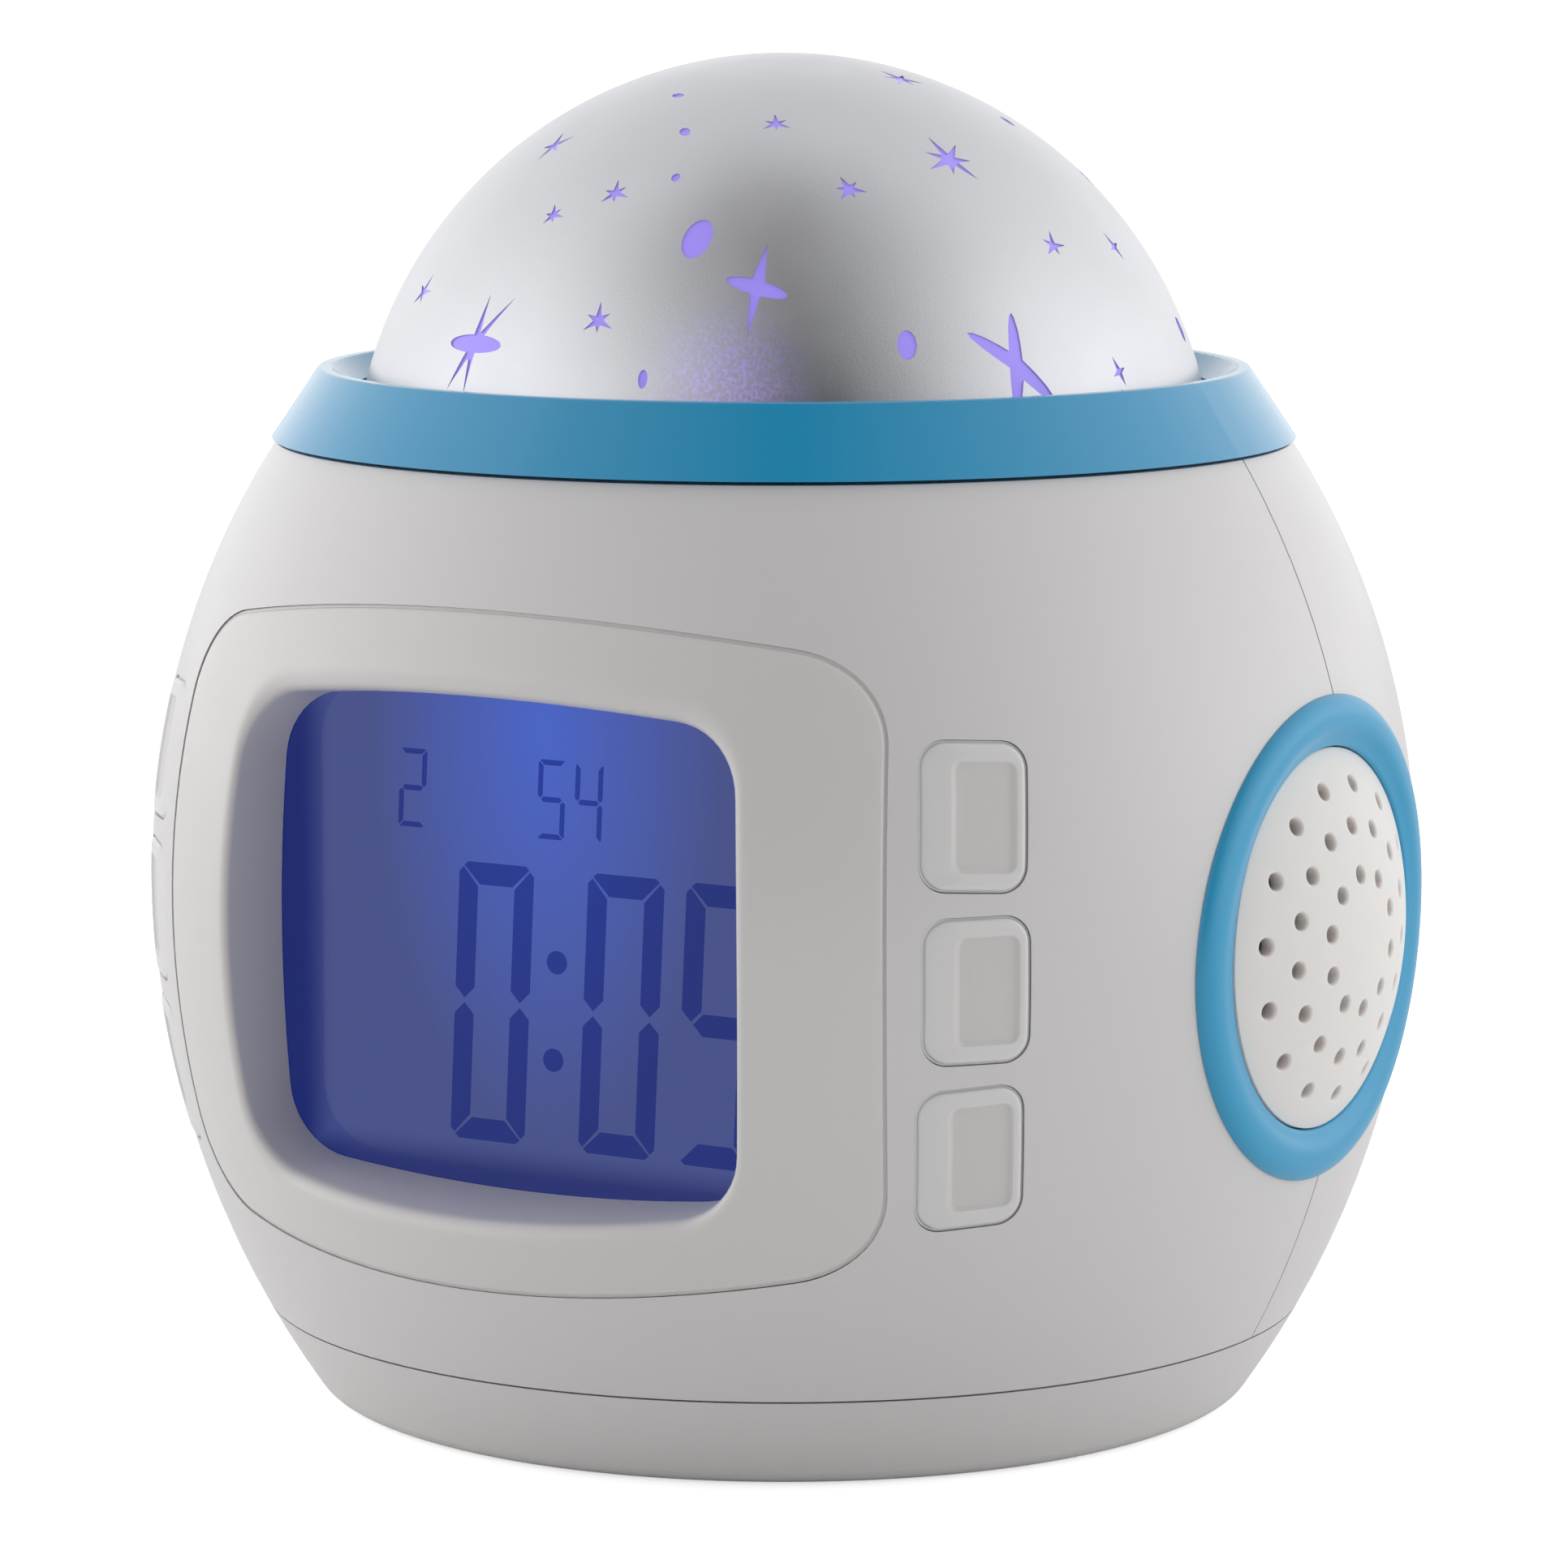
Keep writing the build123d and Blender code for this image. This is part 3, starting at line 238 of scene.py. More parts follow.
def finish(name, rgb, roughness, metallic=0.0, specular=0.5, coat=0.0, coat_roughness=0.1, milk=0.0):
    """A plain finish: one Principled shader with its numbers on its own sockets."""
    material = bpy.data.materials.new(name)
    material.use_nodes = True
    for socket, value in (
        ("Base Color", (*rgb, 1.0)), ("Roughness", roughness), ("Metallic", metallic),
        ("Specular IOR Level", specular), ("Coat Weight", coat), ("Coat Roughness", coat_roughness),
        ("Subsurface Weight", milk), ("Subsurface Radius", (1.0, 0.6, 0.5)), ("Subsurface Scale", 1.2 * MM),
    ):
        shader_of(material).inputs[socket].default_value = value
    return material


def add_node(material, kind, **settings):
    node = material.node_tree.nodes.new(kind)
    for name, value in settings.items():
        setattr(node, name, value)
    return node


def link(material, source, target):
    material.node_tree.links.new(source, target)


def shader_of(material):
    return material.node_tree.nodes["Principled BSDF"]


def object_point(material):
    return add_node(material, "ShaderNodeTexCoord").outputs["Object"]


def coordinate(material, axis):
    """Socket with a surface point's X, Y or Z."""
    parts = add_node(material, "ShaderNodeSeparateXYZ")
    link(material, object_point(material), parts.inputs[0])
    return parts.outputs[axis]


def noise(material, pitch, detail=3.0):
    """Socket with a random value whose bumps are about one pitch apart."""
    field = add_node(material, "ShaderNodeTexNoise")
    field.inputs["Scale"].default_value = 1 / pitch
    field.inputs["Detail"].default_value = detail
    link(material, object_point(material), field.inputs["Vector"])
    return field.outputs["Fac"]


def spread(material, value, low, high, out_low, out_high, smooth=False):
    """Socket with a value that runs from out_low to out_high while its source runs from low to high."""
    node = add_node(material, "ShaderNodeMapRange")
    node.interpolation_type = "SMOOTHSTEP" if smooth else "LINEAR"
    for name, number in (("From Min", low), ("From Max", high), ("To Min", out_low), ("To Max", out_high)):
        node.inputs[name].default_value = number
    link(material, value, node.inputs["Value"])
    return node.outputs["Result"]


def maths(material, operation, first, second):
    """Socket with two sockets worked together. second may be a number."""
    node = add_node(material, "ShaderNodeMath", operation=operation)
    link(material, first, node.inputs[0])
    if isinstance(second, float):
        node.inputs[1].default_value = second
    else:
        link(material, second, node.inputs[1])
    return node.outputs[0]


def grain(material, pitch, depth, strength, wear=0.05):
    """Fine grain as a bump, of a pitch and depth in millimetres, with a change of gloss over wider patches."""
    shader = shader_of(material)
    bump = add_node(material, "ShaderNodeBump")
    bump.inputs["Distance"].default_value = depth * MM
    bump.inputs["Strength"].default_value = strength
    link(material, noise(material, pitch * MM), bump.inputs["Height"])
    link(material, bump.outputs["Normal"], shader.inputs["Normal"])
    gloss = shader.inputs["Roughness"].default_value
    patches = noise(material, 40 * (pitch * MM), 2.0)
    link(material, spread(material, patches, 0.3, 0.7, gloss - wear, gloss + wear), shader.inputs["Roughness"])
    return material


def vector_maths(material, operation, first, second=None, output="Vector"):
    """Socket with a vector socket worked with a fixed vector."""
    node = add_node(material, "ShaderNodeVectorMath", operation=operation)
    link(material, first, node.inputs[0])
    if second:
        node.inputs[1].default_value = second
    return node.outputs[output]


def distance_from(material, centre, stretch=(1.0, 1.0, 1.0)):
    """Socket with the distance of a surface point from a centre, with each axis weighted by stretch."""
    away = vector_maths(material, "SUBTRACT", object_point(material), centre)
    return vector_maths(material, "LENGTH", vector_maths(material, "MULTIPLY", away, stretch), output="Value")


def ramp(material, value, low, high, stops):
    """Colours along a value that runs from low to high. stops are pairs of a share and a colour."""
    colours_along = add_node(material, "ShaderNodeValToRGB")
    elements = colours_along.color_ramp.elements
    while len(elements) < len(stops):
        elements.new(0.5)
    for element, (place, rgb) in zip(elements, stops):
        element.position = place
        element.color = (*rgb, 1.0)
    link(material, spread(material, value, low, high, 0.0, 1.0), colours_along.inputs["Fac"])
    return colours_along.outputs["Color"]


def glow(material, colour_socket, strength=1.0):
    link(material, colour_socket, shader_of(material).inputs["Emission Color"])
    shader_of(material).inputs["Emission Strength"].default_value = strength


def dress(material, *nodes):
    """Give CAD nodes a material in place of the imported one."""
    for node in nodes:
        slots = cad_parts[node].data.materials
        slots.clear()
        slots.append(material)


# Meshes


def mesh_of(name, bm):
    """Mesh of a finished bmesh, with its faces pointing outwards."""
    bmesh.ops.recalc_face_normals(bm, faces=bm.faces)
    mesh = bpy.data.meshes.new(name)
    bm.to_mesh(mesh)
    bm.free()
    return mesh


def add_object(name, data):
    item = bpy.data.objects.new(name, data)
    bpy.context.scene.collection.objects.link(item)
    return item


def add_piece(name, mesh, material, body=HOUSING, replaces=()):
    """Finished piece that rides on a body of the clock, smooth up to the crease angle."""
    mesh.materials.append(material)
    mesh.shade_smooth()
    mesh.set_sharp_from_angle(angle=CREASE)
    piece = add_object(name, mesh)
    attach(piece, body)
    if replaces:
        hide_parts(*replaces)
    return piece


def lofted(name, loops, inlay=0):
    """Mesh whose skin runs from loop to loop of points. Every loop has the same number of points.

    Loops that meet are merged, so a skin whose last loop is its first one, or whose end loops are
    single points, is closed. Its last bands, as many as inlay says, take the second material."""
    bm = bmesh.new()
    ring = bmesh.ops.create_circle(bm, segments=len(loops[0]), radius=1.0)["verts"]
    edges = list({edge for vert in ring for edge in vert.link_edges})
    for vert, place in zip(ring, loops[0]):
        vert.co = place
    for number, loop in enumerate(loops[1:], 1):
        made = bmesh.ops.extrude_edge_only(bm, edges=edges)["geom"]
        for part in made:
            if isinstance(part, bmesh.types.BMFace):
                part.material_index = 1 if number >= len(loops) - inlay else 0
        fresh = {part for part in made if isinstance(part, bmesh.types.BMVert)}
        edges = [part for part in made if isinstance(part, bmesh.types.BMEdge) and fresh.issuperset(part.verts)]
        ring = [
            next(edge.other_vert(vert) for edge in vert.link_edges if edge.other_vert(vert) in fresh)
            for vert in ring
        ]
        for vert, place in zip(ring, loop):
            vert.co = place
    bmesh.ops.remove_doubles(bm, verts=bm.verts, dist=MERGE)
    return mesh_of(name, bm)


def spun(profile, steps):
    """Closed round piece from a profile of (radius, height) about the Z axis."""
    bm = bmesh.new()
    verts = [bm.verts.new((radius, 0.0, height)) for radius, height in profile]
    edges = [bm.edges.new(pair) for pair in zip(verts, verts[1:])]
    bmesh.ops.spin(
        bm, geom=verts + edges, cent=(0, 0, 0), axis=(0, 0, 1), dvec=(0, 0, 0), angle=2 * pi, steps=steps,
        use_merge=True,
    )
    bmesh.ops.remove_doubles(bm, verts=bm.verts, dist=MERGE)
    bmesh.ops.recalc_face_normals(bm, faces=bm.faces)
    return bm


def add_prism(bm, outline, place, low, high):
    """Prism on an outline of (x, y) points, from low to high along the z axis of a placement."""
    made = bmesh.ops.create_circle(bm, segments=len(outline), radius=1.0, cap_ends=True)["verts"]
    for vert, (x, y) in zip(made, outline):
        vert.co = (x, y, low)
    face = next(face for face in made[0].link_faces)
    moved = bmesh.ops.extrude_face_region(bm, geom=[face])["geom"]
    top = [part for part in moved if isinstance(part, bmesh.types.BMVert)]
    bmesh.ops.translate(bm, verts=top, vec=(0, 0, high - low))
    bmesh.ops.transform(bm, matrix=place, verts=made + top)


def temporary(name, bm):
    """Helper object for a boolean."""
    return add_object(name, mesh_of(name, bm))


def cut(name, body, cutter, operation):
    """Mesh of one helper object cut by another, or of what they share."""
    change = body.modifiers.new("cut", "BOOLEAN")
    change.operation = operation
    change.object = cutter
    change.solver = "EXACT"
    bpy.context.view_layer.update()
    cooked = body.evaluated_get(bpy.context.evaluated_depsgraph_get())
    mesh = bpy.data.meshes.new_from_object(cooked)
    mesh.name = name
    body.modifiers.remove(change)
    return mesh


def ball_normals(mesh, centre, radius):
    """Shade a cut ball as the whole ball: the corners of its outer faces take the ball's own normals."""
    near, square = 0.03 * MM, 0.9
    ways = [Vector((0.0, 0.0, 0.0))] * len(mesh.loops)
    for face in mesh.polygons:
        for corner in face.loop_indices:
            away = mesh.vertices[mesh.loops[corner].vertex_index].co - centre
            if abs(away.length - radius) < near and face.normal.dot(away) > square * away.length:
                ways[corner] = away.normalized()
    mesh.normals_split_custom_set(ways)


def drop(*helpers):
    for helper in helpers:
        mesh = helper.data
        bpy.data.objects.remove(helper)
        bpy.data.meshes.remove(mesh)


# The housing's skin


def ease(part):
    """Smooth step from 0 to 1."""
    return part * part * (3 - 2 * part)


def egg_radius(z, offset=0.0):
    """Radius of the housing's skin at a height, with the skin moved outwards by an offset."""
    size = sizes()
    arc = size.upper_arc if z > size.belly_height else size.lower_arc
    return size.belly_radius - arc + sqrt((arc + offset) ** 2 - (z - size.belly_height) ** 2)


def front_skin(x, z, offset=0.0):
    return (x, AXIS_Y - sqrt(egg_radius(z, offset) ** 2 - x ** 2), z)


def side_skin(along, z, offset=0.0):
    """How far the skin lies to the side, at a distance along Y from the housing's axis."""
    return sqrt(egg_radius(z, offset) ** 2 - along ** 2)


def bowed_outline(measures, steps=10):
    """Points of a screen-like outline of four bowed sides and rounded corners, each with its outward way."""
    half_width, half_height, side_bow, top_bow, corner = (measure * MM for measure in measures)
    side_radius = ((half_height - top_bow) ** 2 + side_bow ** 2) / (2 * side_bow)
    top_radius = ((half_width - side_bow) ** 2 + top_bow ** 2) / (2 * top_bow)
    side = Vector((half_width - side_radius, 0.0))
    top = Vector((0.0, half_height - top_radius))
    apart = top - side
    near, far = side_radius - corner, top_radius - corner
    along = (near ** 2 - far ** 2 + apart.length_squared) / (2 * apart.length)
    way = apart.normalized()
    middle = side + way * along + Vector((-way.y, way.x)) * sqrt(near ** 2 - along ** 2)
    low = atan2(middle.y - side.y, middle.x - side.x)
    high = atan2(middle.y - top.y, middle.x - top.x)
    quarter = []
    arcs = ((side, side_radius, 0.0, low), (middle, corner, low, high), (top, top_radius, high, pi / 2))
    for centre, radius, start, end in arcs:
        for step in range(steps):
            angle = start + (end - start) * step / steps
            outward = Vector((cos(angle), sin(angle)))
            quarter.append((centre + outward * radius, outward))
    quarter.append((Vector((0.0, half_height)), Vector((0.0, 1.0))))
    outline = []
    for flip_x, flip_y, backwards in ((1, 1, False), (-1, 1, True), (-1, -1, False), (1, -1, True)):
        run = quarter[:0:-1] if backwards else quarter[:-1]
        flip = Vector((flip_x, flip_y))
        outline += [(point * flip, outward * flip) for point, outward in run]
    return outline


def mirrored(loops):
    return [[(-x, y, z) for x, y, z in loop] for loop in loops]


def digit_strokes(sign, width, height, stroke, gap):
    """Corner lists of the dark strokes of one digit, from its lower left corner."""
    half = height / 2
    mid = stroke / 2
    soft = 0.35 * stroke
    left_high = [(0, height - gap - soft), (0, half + mid + gap), (mid, half + gap), (stroke, half + mid + gap),
                 (stroke, height - stroke - gap), (0.6 * soft, height - gap - 0.4 * soft)]
    top = [(gap + soft, height), (width - gap - soft, height), (width - gap - 0.4 * soft, height - 0.5 * soft),
           (width - stroke - gap, height - stroke), (stroke + gap, height - stroke),
           (gap + 0.4 * soft, height - 0.5 * soft)]
    strokes = {
        "a": top,
        "d": [(x, height - y) for x, y in top],
        "f": left_high,
        "b": [(width - x, y) for x, y in left_high],
        "e": [(x, height - y) for x, y in left_high],
        "c": [(width - x, height - y) for x, y in left_high],
        "g": [(mid + gap, half), (stroke + gap, half + mid), (width - stroke - gap, half + mid),
              (width - mid - gap, half), (width - stroke - gap, half - mid), (stroke + gap, half - mid)],
    }
    return [strokes[letter] for letter in LIT_STROKES[sign]]


def star_outline(arms):
    """Outline of a star of arms of angle, length, half width and whether they are round, in millimetres."""
    angles = [radians(step * 9) for step in range(40)]
    for angle, reach, half, _ in arms:
        for step in (-4, -2, -1, -0.4, 0, 0.4, 1, 2, 4):
            angles.append(radians(angle) + step * half / reach)
    points = []
    for angle in sorted(angle % (2 * pi) for angle in angles):
        far = 0.0
        for way, reach, half, is_round in arms:
            along, across = cos(angle - radians(way)), abs(sin(angle - radians(way)))
            if along <= 0:
                continue
            if is_round:
                far = max(far, 1 / sqrt((along / reach) ** 2 + (across / half) ** 2))
            else:
                far = max(far, 1 / (along / reach + across / half))
        place = (far * cos(angle) * MM, far * sin(angle) * MM)
        if not points or (Vector(place) - Vector(points[-1])).length > 0.01 * MM:
            points.append(place)
    return points


def dome_place(azimuth, elevation):
    """Placement on the dome's centre with z outwards and y upwards."""
    size = sizes()
    return (
        Matrix.Translation((0.0, AXIS_Y, size.dome_middle))
        @ Matrix.Rotation(radians(azimuth), 4, "Z")
        @ Matrix.Rotation(radians(90 - elevation), 4, "X")
    )


class CLOCK_OT_housing(bpy.types.Operator):
    """Dress the shells, base and battery door, and mould the surround with its deep display window"""

    bl_idname = "clock.housing"
    bl_label = "Housing"

    def execute(self, context):
        tone = colours()
        shell = finish("shell_satin", tone.shell, 0.4, coat=0.6, coat_roughness=0.28)
        dress(grain(shell, 0.35, 0.02, 0.25), "front_shell", "rear_shell", "base_cover", "battery_door")
        surround = finish("surround_satin", tone.bezel, 0.4, coat=0.5, coat_roughness=0.28)
        mesh = lofted("display_surround", self.surround_loops())
        add_piece("display_surround", mesh, grain(surround, 0.35, 0.02, 0.2), replaces=["display_bezel"])
        return {"FINISHED"}

    def surround_loops(self):
        """Loops of the surround: its back, hidden flange, rounded rim, face, window mouth and funnel."""
        size = sizes()
        plate = bowed_outline(PLATE_OUTLINE)
        wide = bowed_outline(WINDOW_OUTLINE)
        narrow = bowed_outline(WINDOW_END_OUTLINE)

        def rim(grow, offset):
            spots = [point + way * grow for point, way in plate]
            return [front_skin(x, size.plate_middle + z, offset) for x, z in spots]

        def wall(front, back, reach):
            """Point of the funnel at a distance from the axis."""
            part = (size.belly_radius - reach) / (size.belly_radius - size.window_back)
            return front.lerp(back, part)

        mouths = []
        for (front, way), (back, _) in zip(wide, narrow):
            spot = front
            # A few rounds settle where the funnel's wall meets the skin
            for _ in range(6):
                reach = AXIS_Y - front_skin(spot.x, size.window_middle + spot.y)[1]
                spot = wall(front, back, reach)
            end = size.brow_round if way.y > 0 else size.sill_round
            bend = size.window_round + (end - size.window_round) * way.y ** 2
            mouths.append((spot, way, bend, reach, front, back))

        def mouth(bow):
            """Loop of the mouth's rounding, from the face at 0 degrees to the funnel at 90."""
            loop = []
            for spot, way, bend, *_ in mouths:
                point = spot + way * bend * (1 - sin(bow))
                x, y, z = front_skin(point.x, size.window_middle + point.y)
                loop.append((x, y + bend * (1 - cos(bow)), z))
            return loop

        def funnel(part):
            loop = []
            for _, _, bend, reach, front, back in mouths:
                start = reach - bend
                place = start + (size.window_back - start) * part
                point = wall(front, back, place)
                loop.append((point.x, AXIS_Y - place, size.window_middle + point.y))
            return loop

        flange, bend = size.plate_flange, size.plate_round
        first = rim(flange, -size.plate_thickness)
        loops = [first, rim(flange, -size.plate_groove), rim(0.0, -size.plate_groove)]
        for angle in QUARTER:
            loops.append(rim(bend * (cos(radians(angle)) - 1), bend * (sin(radians(angle)) - 1)))
        outer = loops[-1]
        inner = mouth(0.0)
        for step in range(1, FACE_BANDS):
            ring = []
            for (x0, _, z0), (x1, _, z1) in zip(outer, inner):
                ring.append(front_skin(x0 + (x1 - x0) * step / FACE_BANDS, z0 + (z1 - z0) * step / FACE_BANDS))
            loops.append(ring)
        for angle in (0.0, 15.0, 30.0, 45.0, 60.0, 75.0, 90.0):
            loops.append(mouth(radians(angle)))
        loops += [funnel(0.33), funnel(0.67), funnel(1.0)]
        back_end = -size.window_back + AXIS_Y
        outside = [(point + way * size.funnel_wall) for point, way in narrow]
        loops.append([(x, back_end, size.window_middle + z) for x, z in outside])
        under = [spot + way * size.funnel_wall for spot, way, *_ in mouths]
        loops.append([front_skin(x, size.window_middle + z, -size.plate_thickness) for x, z in under])
        loops.append(first)
        return loops


class CLOCK_OT_speakers(bpy.types.Operator):
    """Mould the blue trim rings and the drilled, bulging speaker grilles"""

    bl_idname = "clock.speakers"
    bl_label = "Speakers"

    def execute(self, context):
        tone = colours()
        trim = grain(finish("trim_azure", tone.trim, 0.34, coat=0.15, coat_roughness=0.2), 0.3, 0.01, 0.2)
        loops = self.trim_loops()
        for side, shape in (("right", loops), ("left", mirrored(loops))):
            name = "trim_ring_" + side
            add_piece(name, lofted(name, shape), trim, replaces=["speaker_ring_" + side])
        self.grilles(grain(finish("grille_matt", tone.grille, 0.55, milk=0.6), 0.3, 0.02, 0.25))
        return {"FINISHED"}

    def trim_loops(self):
        """Loops of a ring that follows the housing's skin outside and dips to the grille inside."""
        size = sizes()
        steps = 160
        ways = [(cos(2 * pi * k / steps), sin(2 * pi * k / steps)) for k in range(steps)]

        def skin(radius, rise):
            return [
                (side_skin(radius * c, size.speaker_height + radius * s, rise), AXIS_Y + radius * c,
                 size.speaker_height + radius * s) for c, s in ways
            ]

        def flat(radius, x):
            return [(x, AXIS_Y + radius * c, size.speaker_height + radius * s) for c, s in ways]

        rise, outer = size.trim_rise, size.trim_radius
        collar, bore = size.trim_collar, size.trim_bore
        root, foot, edge, shoulder = 0.6 * MM, 0.02 * MM, 0.08 * MM, 1.1 * MM
        lip_round, lip_flat = 0.35 * MM, 49.35 * MM
        first = skin(collar, -root)
        loops = [first, skin(outer, foot)]
        for angle in (0, 18, 36, 54, 72, 90):
            back = shoulder * (1 - cos(radians(angle)))
            loops.append(skin(outer - back, edge + (rise - edge) * sin(radians(angle))))
        for radius, fall in ((17.8, 0.04), (17.4, 0.1)):
            loops.append(skin(radius * MM, rise - fall * MM))
        brow = skin(collar, rise - 0.2 * MM)
        lip = [((x + lip_flat) / 2, y, z) for x, y, z in skin(bore + lip_round, 0.0)]
        loops.append(brow)
        for step in (0.25, 0.5, 0.75, 1.0):
            ring = []
            for (x0, y0, z0), (x1, y1, z1) in zip(brow, lip):
                ring.append((x0 + (x1 - x0) * ease(step), y0 + (y1 - y0) * step, z0 + (z1 - z0) * step))
            loops.append(ring)
        for angle in (30, 60, 90):
            back = lip_round * sin(radians(angle))
            down = lip_round * (1 - cos(radians(angle)))
            tight = skin(bore + lip_round - back, 0.0)
            loops.append([(x1 - down, y, z) for (x1, _, _), (_, y, z) in zip(lip, tight)])
        loops += [flat(bore, size.trim_back), flat(collar, size.trim_back), first]
        return loops

    def grilles(self, material):
        """Bulging cap with rounded holes square to its face, for both sides."""
        size = sizes()
        ball, wall, rim = size.grille_ball, size.grille_wall, size.grille_radius
        middle = size.grille_top - ball
        skirt_wall, outer_steps, inner_steps = 1.2 * MM, 26, 12

        def bulge(radius, widest, step, steps):
            return radius * sin(widest * step / steps), middle + radius * cos(widest * step / steps)

        profile = [(0.0, size.grille_top)]
        profile += [bulge(ball, asin(rim / ball), k, outer_steps) for k in range(1, outer_steps + 1)]
        inside, edge = ball - wall, rim - skirt_wall
        profile += [(rim, size.grille_back), (edge, size.grille_back)]
        profile += [bulge(inside, asin(edge / inside), k, inner_steps) for k in range(inner_steps, -1, -1)]
        cap = temporary("grille_cap", spun(profile, 96))
        drill = bmesh.new()
        for count, circle, start in HOLE_CIRCLES:
            for k in range(count):
                self.add_drill(drill, circle * MM, radians(start) + 2 * pi * k / count)
        drills = temporary("grille_drills", drill)
        mesh = cut("grille_right", cap, drills, "DIFFERENCE")
        drop(cap, drills)
        place = Matrix.Translation((0.0, AXIS_Y, size.speaker_height)) @ Matrix.Rotation(pi / 2, 4, "Y")
        mesh.transform(place)
        other = mesh.copy()
        other.name = "grille_left"
        other.transform(Matrix.Scale(-1, 4, (1, 0, 0)))
        other.flip_normals()
        for side, part, way in (("right", mesh, 1), ("left", other, -1)):
            piece = add_piece("drilled_grille_" + side, part, material, replaces=["speaker_grille_" + side])
            ball_normals(piece.data, Vector((way * middle, AXIS_Y, size.speaker_height)), ball)

    def add_drill(self, bm, circle, angle):
        """Round cutter with a flared mouth, square to the bulge. X points down and Y along once placed."""
        size = sizes()
        ball, hole, bend = size.grille_ball, size.hole_radius, size.hole_round
        above, below = 0.5 * MM, -3 * MM
        profile = [(0.0, above), (hole + 0.9 * bend, above), (hole + 0.86 * bend, 0.0)]
        for bow in (15, 30, 50, 70, 90):
            profile.append((hole + bend * (1 - sin(radians(bow))), -bend * (1 - cos(radians(bow)))))
        profile += [(hole, below), (0.0, below)]
        tool = spun(profile, 20)
        tilt = asin(circle / ball)
        bmesh.ops.transform(
            tool,
            matrix=Matrix.Translation((0, 0, size.grille_top - ball))
            @ Matrix.Rotation(angle + pi / 2, 4, "Z") @ Matrix.Rotation(tilt, 4, "Y")
            @ Matrix.Translation((0, 0, ball)),
            verts=tool.verts,
        )
        part = bpy.data.meshes.new("drill")
        tool.to_mesh(part)
        tool.free()
        bm.from_mesh(part)
        bpy.data.meshes.remove(part)


